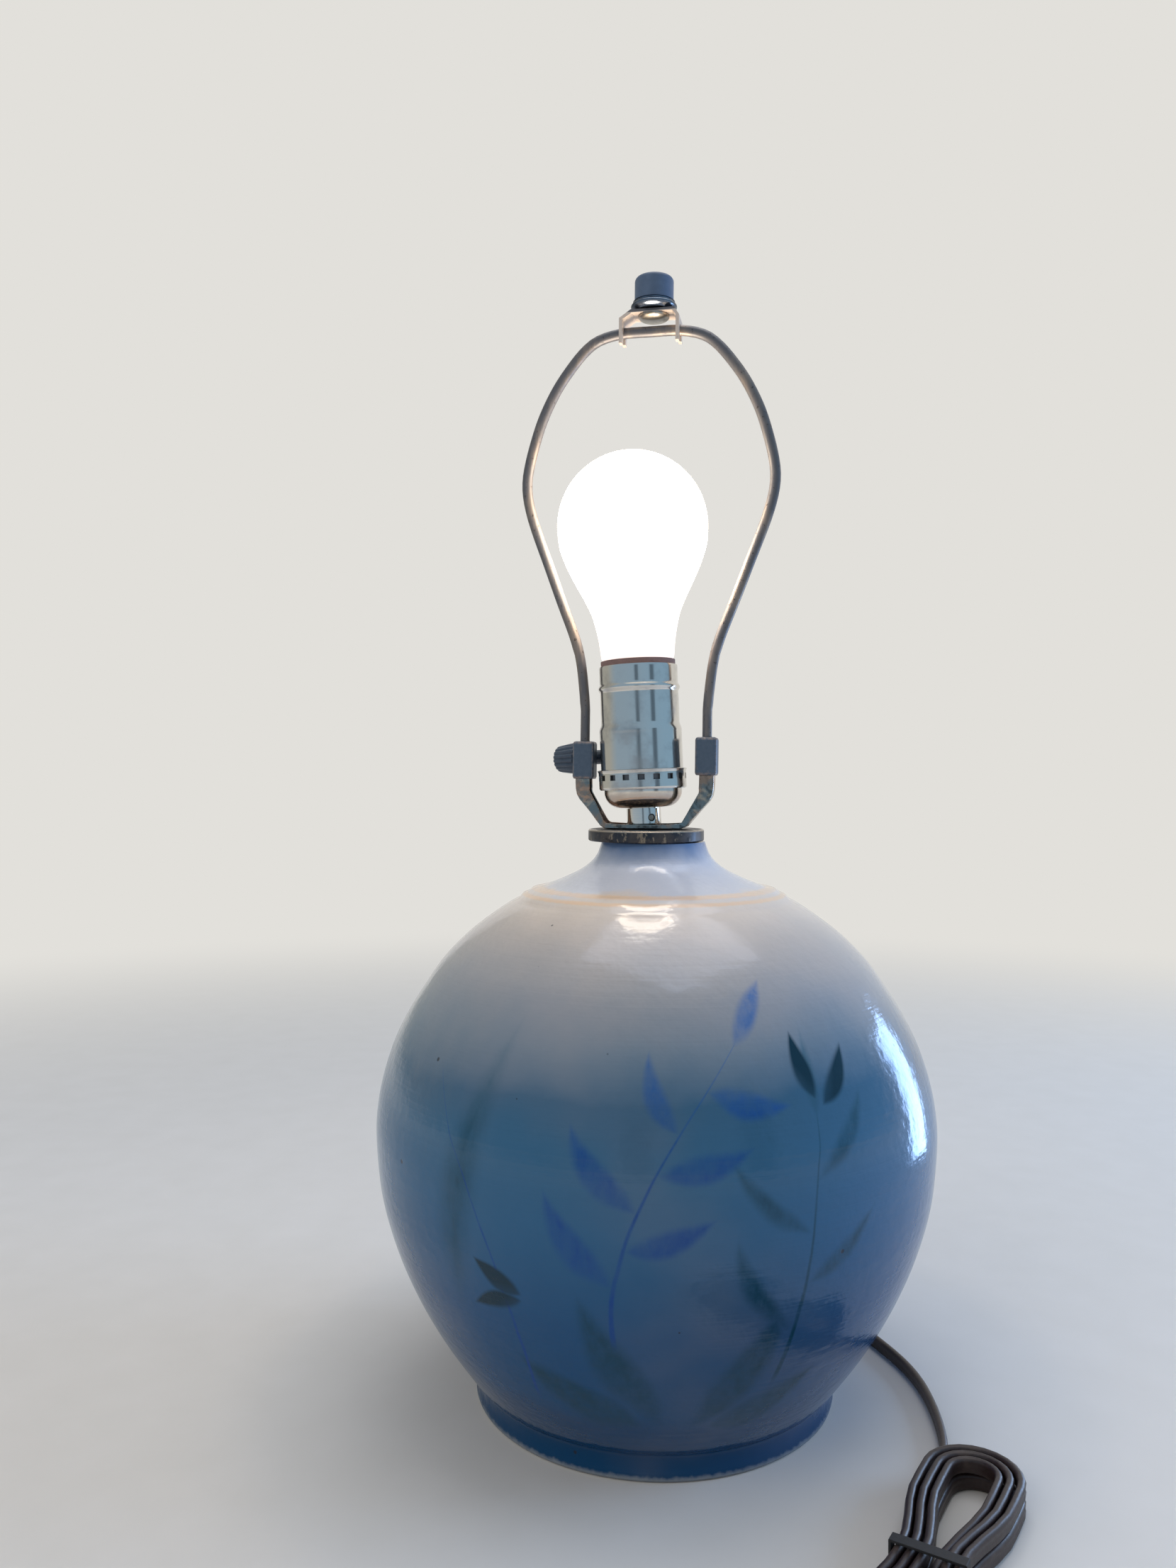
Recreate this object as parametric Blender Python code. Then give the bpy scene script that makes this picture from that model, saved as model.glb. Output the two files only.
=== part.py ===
"""Ceramic table lamp: a thrown pot, a cap and harp, a keyed socket, a frosted bulb and a flat two-core cord.

The pot stands on z = 0 with its axis on Z. The harp lies in the XZ plane and -Y is the front.
All lengths are in metres.
"""

import math

import bmesh
import bpy
import numpy as np
from mathutils import Matrix, Vector

# Clearances that every fit shares
GAP = 0.0003
OVERRUN = 0.002
MERGE = 0.000001

# Pot: a belly over a low foot, a shoulder that ends in a double ridge, and a flared neck
BELLY_RADIUS = 0.1085
BELLY_HEIGHT = 0.1035
BODY_HEIGHT = 0.2141
BODY_WALL = 0.0055
FOOT_RADIUS = 0.0694
FOOT_HEIGHT = 0.0090
FOOT_ROLL = 0.0006
FOOT_RING_WIDTH = 0.0085
FOOT_RECESS = 0.0125
FLOOR_THICKNESS = 0.007
FLOOR_CORNER = 0.006
NECK_RADIUS = 0.0205
RIDGE_OUTER_RADIUS = 0.056
RIDGE_INNER_RADIUS = 0.048
RIDGE_OUTER_DROP = 0.0241
RIDGE_INNER_DROP = 0.0201
RIDGE_BOTTOM = BODY_HEIGHT - RIDGE_OUTER_DROP
RIDGE_TOP = BODY_HEIGHT - RIDGE_INNER_DROP
RIDGE_RISE = 0.0005
# Each pair is a share of the way out to the wider radius and a share of the way up
FLANK_SHARES = ((0.077, 0.0296), (0.177, 0.0846), (0.387, 0.2116), (0.580, 0.3492), (0.747, 0.4974), (0.873, 0.6455))
FLANK_SHARES += ((0.959, 0.7989),)
SHOULDER_SHARES = ((0.985, 0.136), (0.942, 0.262), (0.865, 0.402), (0.762, 0.526), (0.652, 0.633))
SHOULDER_SHARES += ((0.514, 0.752), (0.34, 0.859), (0.16, 0.940))
NECK_SHARES = ((0.80, 0.115), (0.52, 0.277), (0.25, 0.477), (0.08, 0.715))
RIDGE_SHARES = ((0.86, 0.40), (0.62, 0.34), (0.42, 0.62), (0.16, 0.90))

# Cap on the neck, a thick disc that a boss centres in the mouth
DISC_RADIUS = 0.023
DISC_HEIGHT = 0.0046
DISC_EDGE = 0.0009
DISC_SHIFT = -0.0029
DISC_BOSS_RADIUS = 0.0105
DISC_BOSS_DEPTH = 0.0026

# Threaded pipe that clamps the cap to the floor of the pot
PIPE_RADIUS = 0.0049
PIPE_BORE = 0.0034
PIPE_SHIFT = -0.0036
PIPE_BOTTOM = 0.0058
PIPE_IN_HUB = 0.0056
PIPE_CLEARANCE = 0.0008
WASHER_RADIUS = 0.019
WASHER_THICKNESS = 0.0015
NUT_ACROSS_FLATS = 0.0175
NUT_HEIGHT = 0.004

# Saddle: a pressed channel that carries the harp
HARP_LEAN = math.radians(0.75)
SADDLE_THICKNESS = 0.0012
SADDLE_CENTRE_WIDTH = 0.0172
SADDLE_ARM_WIDTH = 0.0062
SADDLE_FLAT = 0.015
SADDLE_LIP_LOW = 0.0005
SADDLE_LIP_HIGH = 0.0046
SADDLE_LIP_SHARE = 0.7
SADDLE_RISE = 0.0268
# Shares of the way from the flat out to the leg, and of the rise
SADDLE_SHARES = ((0.0, 0.0), (0.12, 0.02), (0.30, 0.11), (0.52, 0.235), (0.76, 0.365), (0.93, 0.47), (0.99, 0.62), (1.0, 1.0))

# Harp: a wire loop with flattened legs
HARP_WIRE = 0.0042
HARP_LEG_X = 0.0246
HARP_LEG_THICKNESS = 0.0035
HARP_LEG_WIDTH = 0.0038
HARP_FOOT = 0.0208
HARP_STRAIGHT = 0.0465
HARP_HALF_WIDTH = 0.050
HARP_HEIGHT = 0.1972
HARP_SQUARE_END = 0.070
# Shares of the widest half width and of the height
HARP_SHARES = ((0.504, 0.272), (0.534, 0.331), (0.586, 0.382), (0.70, 0.457), (0.812, 0.533), (0.925, 0.609))
HARP_SHARES += ((0.982, 0.659), (1.0, 0.698), (0.984, 0.736), (0.934, 0.787), (0.868, 0.837), (0.77, 0.888))
HARP_SHARES += ((0.665, 0.928), (0.54, 0.966), (0.42, 0.988), (0.24, 0.999), (0.0, 1.0))

# Sleeves that lock the legs to the saddle
SLEEVE_WIDTH = 0.0086
SLEEVE_DEPTH = 0.0084
SLEEVE_HEIGHT = 0.0152
SLEEVE_WALL = 0.0008
SLEEVE_TOP = 0.0012
SLEEVE_EDGE = 0.0011
# The left sleeve sits lower on its leg than the right one
SLEEVE_BOTTOM_LEFT = 0.0186
SLEEVE_BOTTOM_RIGHT = 0.0206

# Bracket that carries the shade, and its stud
BRACKET_WIDTH = 0.0239
BRACKET_DEPTH = 0.0106
BRACKET_THICKNESS = 0.0013
BRACKET_ABOVE_WIRE = 0.0078
BRACKET_BELOW_WIRE = 0.0052
BRACKET_REAR_SHORTER = 0.0018
BRACKET_LEFT_BEVEL = 0.0046
BRACKET_RIGHT_BEVEL = 0.0020
BRACKET_BEVEL_DROP = 0.0031
STUD_SHIFT = 0.0012
STUD_RADIUS = 0.0031
STUD_LENGTH = 0.0108
STUD_HEAD_RADIUS = 0.0062
STUD_HEAD_HEIGHT = 0.0021

# Finial: a plain cap on a beaded skirt
FINIAL_RADIUS = 0.00775
FINIAL_HEIGHT = 0.0137
FINIAL_EDGE = 0.0019
FINIAL_BORE_DEPTH = 0.0108
SKIRT_RADIUS = 0.0094
SKIRT_HEIGHT = 0.0052
SKIRT_FLOOR = 0.0010
SKIRT_BEADS = 18
SKIRT_BEAD_DEPTH = 0.00045

# Socket, measured up its own leaning axis from the foot of its hub
SOCKET_LEAN = math.radians(2.3)
HUB_SEAT_GAP = 0.0005
HUB_RADIUS = 0.0068
HUB_HEIGHT = 0.0063
HUB_SPIGOT_RADIUS = 0.0060
HUB_SPIGOT_HEIGHT = 0.0020
SET_SCREW_RADIUS = 0.0012
SET_SCREW_HEIGHT = 0.0026
SET_SCREW_ANGLE = math.radians(-54)
CAP_SHEET = 0.0006
DOME_FLAT_RADIUS = 0.0090
DOME_RADIUS = 0.0156
DOME_HEIGHT = 0.0072
BAND_RADIUS = 0.01745
BAND_HEIGHT = 0.0078
BAND_LIP = 0.0004
SLOT_COUNT = 18
SLOT_WIDTH = 0.0021
SLOT_HEIGHT = 0.0019
SLOT_BELOW_RIM = 0.0029
SLOT_PHASE_SHARE = 0.885
SHELL_SHEET = 0.0005
SHELL_LOW_RADIUS = 0.0164
SHELL_RADIUS = 0.01565
SHELL_TOP = 0.0628
SHELL_STEP = 0.0366
SHELL_STEP_HEIGHT = 0.0034
SHELL_BEAD = 0.0541
SHELL_BEAD_HEIGHT = 0.0034
SHELL_BEAD_DEPTH = 0.0006
SHELL_IN_CAP = 0.0062
LINER_RADIUS = 0.01485
LINER_SHEET = 0.0009
LINER_BOTTOM = 0.0172
LINER_TOP = 0.0650
INTERIOR_BOTTOM = 0.0178
INTERIOR_TOP = 0.0380
INTERIOR_CHAMFER = 0.0010
TERMINAL_FLAT = 0.0095
TERMINAL_FLAT_WIDTH = 0.0110
TERMINAL_FLAT_TOP = 0.0290
TERMINAL_HEIGHT = 0.0232
TERMINAL_RADIUS = 0.0032
TERMINAL_HEAD = 0.0022
SCREW_SHELL_SHEET = 0.00035
SCREW_SHELL_TOP = 0.0622
SCREW_SHELL_FLOOR_RADIUS = 0.0085
CONTACT_RADIUS = 0.0030
CONTACT_THICKNESS = 0.0005

# Rotary switch
SWITCH_HEIGHT = 0.0276
SWITCH_ANGLE = math.radians(158)
SHAFT_RADIUS = 0.0029
SHAFT_INNER = 0.0050
SHAFT_TIP_RADIUS = 0.0022
SHAFT_TIP = 0.0055
KNOB_START = 0.0292
KNOB_LENGTH = 0.0108
KNOB_RADIUS = 0.0066
KNOB_TAPER_SHARE = 0.84
KNOB_FLUTES = 18
KNOB_FLUTE_DEPTH = 0.00045
KNOB_BORE_DEPTH = 0.0062
NOTCH_WIDTH = 0.0070

# Bulb, measured up the socket's axis
BULB_RADIUS = 0.0300
BULB_TOP = 0.1487
BULB_NECK_RADIUS = 0.0145
BULB_NECK_HEIGHT = 0.0662
BULB_GLASS = 0.0007
BULB_THROAT_RADIUS = 0.0121
BULB_THROAT_BOTTOM = 0.0575
BASE_RADIUS = 0.0130
BASE_SHEET = 0.0004
BASE_TOP = 0.0640
BASE_TAPER_TOP = 0.0465
BASE_BOTTOM = 0.0432
BASE_BOTTOM_RADIUS = 0.0100
INSULATOR_BOTTOM = 0.0404
INSULATOR_RADIUS = 0.0072
TIP_RADIUS = 0.0042
TIP_BOTTOM = 0.0392
# Below the widest ring: shares of the radius left over the neck's, and of the height left over the neck
BULB_CONE_SHARES = ((0.98, 0.90), (0.93, 0.82), (0.78, 0.70), (0.585, 0.575), (0.375, 0.455), (0.21, 0.345))
BULB_CONE_SHARES += ((0.115, 0.24), (0.045, 0.13), (0.0, 0.0))
STEM_RADIUS = 0.0038
STEM_FLARE_RADIUS = 0.0108
STEM_BOTTOM = 0.0585
STEM_FLARE_HEIGHT = 0.0065
STEM_TOP = 0.0950
FILAMENT_WIRE = 0.0008
FILAMENT_HALF_WIDTH = 0.0090
FILAMENT_HEIGHT = 0.0190

# Cord: two cores side by side, standing on edge on the table
CORD_WIDTH = 0.0055
CORD_THICKNESS = 0.0028
CORD_REST = 0.0028
INNER_LEAD_RADIUS = 0.0014
EXIT_ANGLE = math.radians(75)
EXIT_HEIGHT = 0.0051
GROMMET_RADIUS = 0.0038
GROMMET_LIP_RADIUS = 0.0044
GROMMET_LIP = 0.0016
# The route behind and beside the pot, chosen by hand from the photograph, as (x, y, z)
LEAD_ROUTE = [
    (0.0212, 0.0795, 0.0046),
    (0.0258, 0.0885, 0.0035),
    (0.0340, 0.0945, 0.0029),
    (0.0441, 0.0957, 0.0028),
    (0.0540, 0.0910, 0.0028),
    (0.0630, 0.0820, 0.0028),
    (0.0712, 0.0705, 0.0028),
    (0.0790, 0.0580, 0.0028),
    (0.0866, 0.0454, 0.0028),
    (0.0938, 0.0335, 0.0028),
    (0.0994, 0.0225, 0.0028),
    (0.1036, 0.0105, 0.0028),
    (0.1063, -0.0020, 0.0028),
    (0.1079, -0.0140, 0.0028),
    (0.1086, -0.0256, 0.0028),
    (0.1083, -0.0350, 0.0028),
    (0.1066, -0.0432, 0.0028),
]
LEAD_POINTS = 32
LEAD_LAST_REACH = 0.0058
HANK_CENTRE = (0.0980, -0.1070)
HANK_HEADING = math.radians(70)
HANK_RUN = 0.1020
HANK_INNER_RADIUS = 0.0081
HANK_PITCH = 0.0035
HANK_LAYER = 0.0061
# One entry a run, left and right by turns: how many turns out from the innermost, and its layer at both ends
HANK_SLOTS = (2, 2, 1, 1, 0, 0, 0, 1, 1, 2, 2)
HANK_LAYERS = ((0, 0), (0, 0), (0, 0), (0, 0), (0, 0), (0, 1), (1, 1), (1, 1), (1, 1), (1, 1), (1, 1))
HANK_PIECES = 6
WAIST_REACH = 0.0395
WAIST_DRAW = 0.0064
TIE_WIDTH = 0.0040
TIE_THICKNESS = 0.0008
TIE_LIFT = 0.0013
# From the end of the hank to the plug, in the hank's own sideways and forward places
TAIL_ROUTE = [
    (-0.0149, -0.0580, 0.0088),
    (-0.0144, -0.0645, 0.0084),
    (-0.0119, -0.0715, 0.0069),
    (-0.0070, -0.0773, 0.0050),
    (0.0000, -0.0812, 0.0036),
    (0.0075, -0.0824, 0.0031),
    (0.0150, -0.0811, 0.0031),
    (0.0218, -0.0773, 0.0035),
    (0.0268, -0.0713, 0.0042),
    (0.0293, -0.0645, 0.0050),
    (0.0299, -0.0575, 0.0057),
]
TAIL_POINTS = 14
PLUG_PLACE = (0.0299, -0.0500)
PLUG_LENGTH = 0.0270
PLUG_WIDTH = 0.0220
PLUG_THICKNESS = 0.0120
PLUG_NECK_WIDTH = 0.0090
PLUG_NECK_THICKNESS = 0.0070
PLUG_SHARES = ((0.0, 0.0), (0.25, 0.10), (0.62, 0.72), (0.80, 1.0), (0.97, 1.0), (1.0, 0.86))
BLADE_SPACING = 0.0127
BLADE_LENGTH = 0.0175
BLADE_WIDTH = 0.00635
BLADE_THICKNESS = 0.0015
BLADE_ROOT = 0.0040
BLADE_HOLE = 0.0016
BLADE_HOLE_FROM_TIP = 0.0035

# Facets of the round pieces
BODY_STEPS = 34
DISC_STEPS = 30
SMALL_STEPS = 18
TUBE_STEPS = 26
CAP_STEPS = 36
BULB_STEPS = 22
WIRE_STEPS = 8

# Heights up the stack, each from the one below
DISC_BOTTOM = BODY_HEIGHT + GAP
DISC_TOP = DISC_BOTTOM + DISC_HEIGHT
SADDLE_BOTTOM = DISC_TOP + GAP
HUB_FOOT = SADDLE_BOTTOM + SADDLE_THICKNESS + HUB_SEAT_GAP
HUB_BORE = PIPE_RADIUS + PIPE_CLEARANCE
DOME_BOTTOM = HUB_HEIGHT + GAP
BAND_BOTTOM = DOME_BOTTOM + DOME_HEIGHT
BAND_TOP = BAND_BOTTOM + BAND_HEIGHT
WASHER_TOP = FOOT_RECESS - GAP
NUT_TOP = WASHER_TOP - WASHER_THICKNESS - GAP

UPRIGHT = Matrix.Identity(4)
STACK = Matrix.Translation((PIPE_SHIFT, 0, 0))


def clear_scene():
    for thing in list(bpy.data.objects):
        bpy.data.objects.remove(thing)


def finish(name, colour, roughness, metallic=0.0):
    """A plain material for one finish of the lamp."""
    made = bpy.data.materials.new(name)
    made.use_nodes = True
    shader = made.node_tree.nodes["Principled BSDF"]
    shader.inputs["Base Color"].default_value = (*colour, 1.0)
    shader.inputs["Roughness"].default_value = roughness
    shader.inputs["Metallic"].default_value = metallic
    return made


def placed(name, data, parent=None):
    made = bpy.data.objects.new(name, data)
    bpy.context.scene.collection.objects.link(made)
    made.parent = parent
    return made


def axis_empty(name, place, parent=None):
    """An empty whose Z is the axis that its children turn on or slide along."""
    made = placed(name, None, parent)
    made.matrix_local = place
    made.empty_display_size = BELLY_RADIUS
    return made


def solid(name, mesh, material, parent=None):
    """Closes up a bmesh and puts it in the scene, smooth but for its sharp edges."""
    bmesh.ops.remove_doubles(mesh, verts=mesh.verts, dist=MERGE)
    bmesh.ops.recalc_face_normals(mesh, faces=mesh.faces)
    data = bpy.data.meshes.new(name)
    mesh.to_mesh(data)
    mesh.free()
    data.shade_smooth()
    data.set_sharp_from_angle(angle=math.radians(35))
    data.materials.append(material)
    return placed(name, data, parent)


def turned_mesh(outline, steps):
    """A solid of revolution about Z, from (radius, height) points that go once round the section."""
    mesh = bmesh.new()
    verts = [mesh.verts.new((radius, 0, height)) for radius, height in outline]
    edges = [mesh.edges.new(pair) for pair in zip(verts, verts[1:])]
    if outline[0][0] > MERGE or outline[-1][0] > MERGE:
        edges.append(mesh.edges.new((verts[-1], verts[0])))
    bmesh.ops.spin(
        mesh, geom=verts + edges, cent=(0, 0, 0), axis=(0, 0, 1), angle=math.tau, steps=steps, use_merge=True
    )
    return mesh


def turned(name, outline, material, parent=None, steps=TUBE_STEPS):
    return solid(name, turned_mesh(outline, steps), material, parent)


def lofted_mesh(rings):
    """Quads between rings that have the same number of points, with the end rings filled."""
    mesh = bmesh.new()
    made = [[mesh.verts.new(point) for point in ring] for ring in rings]
    count = len(made[0])
    for low, high in zip(made, made[1:]):
        for i in range(count):
            j = (i + 1) % count
            mesh.faces.new((low[i], low[j], high[j], high[i]))
    mesh.faces.new(reversed(made[0]))
    mesh.faces.new(made[-1])
    return mesh


def box_mesh(size, centre, edge=0.0, segments=2):
    """A box, with its edges rounded where edge is given."""
    mesh = bmesh.new()
    place = Matrix.LocRotScale(Vector(centre), None, Vector(size))
    bmesh.ops.create_cube(mesh, size=1, matrix=place)
    if edge:
        bmesh.ops.bevel(
            mesh, geom=list(mesh.edges), offset=edge, segments=segments, affect="EDGES", profile=0.5
        )
    return mesh


def cylinder_mesh(radius, start, end, steps=SMALL_STEPS):
    """A cylinder from one point to another."""
    start, end = Vector(start), Vector(end)
    along = end - start
    place = Matrix.Translation((start + end) / 2) @ along.to_track_quat("Z", "Y").to_matrix().to_4x4()
    mesh = bmesh.new()
    bmesh.ops.create_cone(
        mesh, cap_ends=True, segments=steps, radius1=radius, radius2=radius, depth=along.length, matrix=place
    )
    return mesh


def cut(target, name, mesh, parent=None):
    """Cuts the mesh out of the target. The cutter stays in the scene as a hidden guide."""
    tool = solid(name, mesh, target.data.materials[0], parent)
    tool.hide_render = True
    tool.display_type = "WIRE"
    modifier = target.modifiers.new(name, "BOOLEAN")
    modifier.operation = "DIFFERENCE"
    modifier.object = tool
    return tool


def smooth_line(points, count):
    """Points at even steps along a smooth curve through the given ones."""
    points = np.array(points, float)
    padded = np.vstack([2 * points[0] - points[1], points, 2 * points[-1] - points[-2]])
    fine = []
    for i in range(len(points) - 1):
        a, b, c, d = padded[i : i + 4]
        for t in np.linspace(0, 1, 16, endpoint=False):
            fine.append(
                b
                + (c - a) * t / 2
                + (2 * a - 5 * b + 4 * c - d) * t**2 / 2
                + (3 * b - a - 3 * c + d) * t**3 / 2
            )
    fine = np.array(fine + [points[-1]])
    along = np.concatenate([[0], np.cumsum(np.linalg.norm(np.diff(fine, axis=0), axis=1))])
    at = np.linspace(0, along[-1], count)
    return np.stack([np.interp(at, along, fine[:, k]) for k in range(fine.shape[1])], axis=1)


def line_length(points):
    return float(np.linalg.norm(np.diff(np.array(points), axis=0), axis=1).sum())


def between(low, high, share):
    return low + (high - low) * share


def blend(value, start, end):
    """0 below start, 1 above end and a smooth S in between."""
    t = min(max((value - start) / (end - start), 0), 1)
    return t * t * (3 - 2 * t)


def drawn(outline, thickness):
    """A closed section from an open (radius, height) line, thickened to its inner side."""
    line = np.array(outline)
    step = np.gradient(line, axis=0)
    step /= np.linalg.norm(step, axis=1)[:, None]
    inner = line + thickness * np.stack([-step[:, 1], step[:, 0]], axis=1)
    return [tuple(p) for p in line] + [tuple(p) for p in inner[::-1]]


def pot_outline():
    """The pot's outer line from its foot to the rim of its neck."""
    foot = [
        (FOOT_RADIUS - FOOT_ROLL, 0),
        (FOOT_RADIUS + FOOT_ROLL / 2, FOOT_ROLL),
        (FOOT_RADIUS + FOOT_ROLL, FOOT_ROLL * 2.5),
        (FOOT_RADIUS, FOOT_ROLL * 5),
        (FOOT_RADIUS, FOOT_HEIGHT),
    ]
    flank = [
        (between(FOOT_RADIUS, BELLY_RADIUS, out), between(FOOT_HEIGHT, BELLY_HEIGHT, up)) for out, up in FLANK_SHARES
    ]
    shoulder = [
        (between(RIDGE_OUTER_RADIUS, BELLY_RADIUS, out), between(BELLY_HEIGHT, RIDGE_BOTTOM, up))
        for out, up in SHOULDER_SHARES
    ]
    ridge = [
        (
            between(RIDGE_INNER_RADIUS, RIDGE_OUTER_RADIUS, out),
            between(RIDGE_BOTTOM, RIDGE_TOP, up) + RIDGE_RISE,
        )
        for out, up in RIDGE_SHARES
    ]
    neck = [
        (between(NECK_RADIUS, RIDGE_INNER_RADIUS, out), between(RIDGE_TOP, BODY_HEIGHT, up)) for out, up in NECK_SHARES
    ]
    return (
        foot
        + flank
        + [(BELLY_RADIUS, BELLY_HEIGHT)]
        + shoulder
        + [(RIDGE_OUTER_RADIUS, RIDGE_BOTTOM)]
        + ridge
        + [(RIDGE_INNER_RADIUS, RIDGE_TOP)]
        + neck
        + [(NECK_RADIUS, BODY_HEIGHT)]
    )


def pot_cavity(outer):
    """The inner line from the rim down to the floor, one wall inside the outer line."""
    floor = FOOT_RECESS + FLOOR_THICKNESS
    line = drawn(outer, BODY_WALL)[len(outer) :]
    kept = [p for i, p in enumerate(line) if p[1] > floor + FLOOR_CORNER and i % 4 == 0]
    wall = kept[-1][0]
    corner = [
        (wall - FLOOR_CORNER * 0.5, floor + FLOOR_CORNER * 0.5),
        (wall - FLOOR_CORNER * 1.4, floor + FLOOR_CORNER * 0.1),
        (wall - FLOOR_CORNER * 2, floor),
    ]
    return kept + corner + [(0, floor)]


def make_pot(glaze):
    outer = pot_outline()
    ring_inner = FOOT_RADIUS - FOOT_RING_WIDTH
    under = [
        (0, FOOT_RECESS),
        (ring_inner - FLOOR_CORNER / 2, FOOT_RECESS),
        (ring_inner, FOOT_RECESS - FLOOR_CORNER / 2),
        (ring_inner, FOOT_ROLL),
        (ring_inner + FOOT_ROLL, 0),
    ]
    body = turned("ceramic_body", under + outer + pot_cavity(outer), glaze, steps=BODY_STEPS)
    floor_hole = PIPE_RADIUS + GAP * 2
    bottom = (PIPE_SHIFT, 0, FOOT_RECESS - OVERRUN)
    top = (PIPE_SHIFT, 0, FOOT_RECESS + FLOOR_THICKNESS + OVERRUN)
    cut(body, "floor_hole", cylinder_mesh(floor_hole, bottom, top))
    way = Vector((math.cos(EXIT_ANGLE), math.sin(EXIT_ANGLE), 0))
    lift = Vector((0, 0, EXIT_HEIGHT))
    start = way * (ring_inner - OVERRUN) + lift
    end = way * (FOOT_RADIUS + OVERRUN) + lift
    cut(body, "exit_hole", cylinder_mesh(GROMMET_RADIUS + GAP, start, end))
    return body


def make_neck_disc(brass):
    """The cap: a thick disc with rounded edges and a boss that drops into the mouth."""
    bottom, top = DISC_BOTTOM, DISC_TOP
    outline = [
        (0, bottom - DISC_BOSS_DEPTH),
        (DISC_BOSS_RADIUS, bottom - DISC_BOSS_DEPTH),
        (DISC_BOSS_RADIUS, bottom),
        (DISC_RADIUS - DISC_EDGE, bottom),
        (DISC_RADIUS - DISC_EDGE * 0.3, bottom + DISC_EDGE * 0.3),
        (DISC_RADIUS, bottom + DISC_EDGE),
        (DISC_RADIUS, top - DISC_EDGE),
        (DISC_RADIUS - DISC_EDGE * 0.3, top - DISC_EDGE * 0.3),
        (DISC_RADIUS - DISC_EDGE, top),
        (0, top),
    ]
    seat = axis_empty("disc_seat", Matrix.Translation((DISC_SHIFT, 0, 0)))
    disc = turned("neck_disc", outline, brass, seat, steps=DISC_STEPS)
    low = (PIPE_SHIFT, 0, bottom - DISC_BOSS_DEPTH - OVERRUN)
    cut(disc, "disc_hole", cylinder_mesh(PIPE_RADIUS + GAP * 2, low, (PIPE_SHIFT, 0, top + OVERRUN)))
    return disc


def make_pipe(steel, rubber):
    """The pipe through the pot, with the washer and the nut that pull against the floor."""
    stack = axis_empty("stack", STACK)
    top = HUB_FOOT + PIPE_IN_HUB
    outline = [(PIPE_RADIUS, PIPE_BOTTOM), (PIPE_RADIUS, top), (PIPE_BORE, top), (PIPE_BORE, PIPE_BOTTOM)]
    turned("lamp_pipe", outline, steel, stack, steps=SMALL_STEPS)
    hole = PIPE_RADIUS + GAP * 2
    low = WASHER_TOP - WASHER_THICKNESS
    washer = [(hole, low), (WASHER_RADIUS, low), (WASHER_RADIUS, WASHER_TOP), (hole, WASHER_TOP)]
    turned("pipe_bottom_washer", washer, rubber, stack, steps=TUBE_STEPS)
    corner = NUT_ACROSS_FLATS / math.sqrt(3)
    nut_mesh = cylinder_mesh(corner, (0, 0, NUT_TOP - NUT_HEIGHT), (0, 0, NUT_TOP), steps=6)
    nut = solid("pipe_bottom_nut", nut_mesh, steel, stack)
    cut(
        nut,
        "nut_hole",
        cylinder_mesh(PIPE_RADIUS + GAP, (0, 0, NUT_TOP - NUT_HEIGHT - OVERRUN), (0, 0, NUT_TOP + OVERRUN)),
        stack,
    )


def saddle_side():
    """Stations up one arm: outward place, height, width of the channel and height of its lips."""
    leg_face = HARP_LEG_X + SLEEVE_WIDTH / 2 - SLEEVE_WALL - GAP
    points = [(between(SADDLE_FLAT, leg_face, out), SADDLE_RISE * up) for out, up in SADDLE_SHARES]
    line = smooth_line(points, 15)
    stations = [(SADDLE_FLAT * 0.55, 0.0, SADDLE_CENTRE_WIDTH, SADDLE_LIP_LOW)]
    for x, z in line:
        width = between(SADDLE_CENTRE_WIDTH, SADDLE_ARM_WIDTH, blend(x, SADDLE_FLAT * 0.6, leg_face * 0.85))
        lip = between(SADDLE_LIP_LOW, SADDLE_LIP_HIGH, blend(z, -SADDLE_RISE * 0.15, SADDLE_RISE * 0.6))
        stations.append((x, z, width, lip))
    return stations


def make_saddle(nickel, harp_frame):
    """A strip with a flat middle and two arms that bend up into channels round the harp's legs."""
    side = saddle_side()
    stations = [(-x, z, width, lip) for x, z, width, lip in reversed(side)] + side
    line = np.array([(x, z) for x, z, _, _ in stations])
    step = np.gradient(line, axis=0)
    step /= np.linalg.norm(step, axis=1)[:, None]
    rings = []
    for (x, z, width, lip), (dx, dz) in zip(stations, step):
        half = width / 2
        wall = SADDLE_THICKNESS
        section = [
            (-half, 0),
            (half, 0),
            (half, wall + lip),
            (half - wall * SADDLE_LIP_SHARE, wall + lip),
            (half - wall * SADDLE_LIP_SHARE, wall),
            (-half + wall * SADDLE_LIP_SHARE, wall),
            (-half + wall * SADDLE_LIP_SHARE, wall + lip),
            (-half, wall + lip),
        ]
        lean = Matrix.Rotation(HARP_LEAN, 4, "Y") if abs(x) > SADDLE_FLAT else UPRIGHT
        rings.append([lean @ Vector((x - dz * up, across, z + dx * up)) for across, up in section])
    seat = axis_empty("saddle_seat", Matrix.Translation((PIPE_SHIFT, 0, SADDLE_BOTTOM)))
    saddle = solid("harp_saddle", lofted_mesh(rings), nickel, seat)
    hole = cylinder_mesh(PIPE_RADIUS + GAP * 2, (0, 0, -OVERRUN), (0, 0, SADDLE_THICKNESS + OVERRUN))
    cut(saddle, "saddle_hole", hole, seat)
    return saddle


def harp_line():
    """The harp's centre line from its left foot over the top to its right foot."""
    arch = [(HARP_HALF_WIDTH * out, HARP_HEIGHT * up) for out, up in HARP_SHARES]
    right = [(HARP_LEG_X, HARP_STRAIGHT)] + arch
    left = [(-x, z) for x, z in right[:-1]]
    upper = smooth_line(left + right[::-1], 47)
    return np.vstack([[-HARP_LEG_X, HARP_FOOT], upper, [HARP_LEG_X, HARP_FOOT]])


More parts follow.
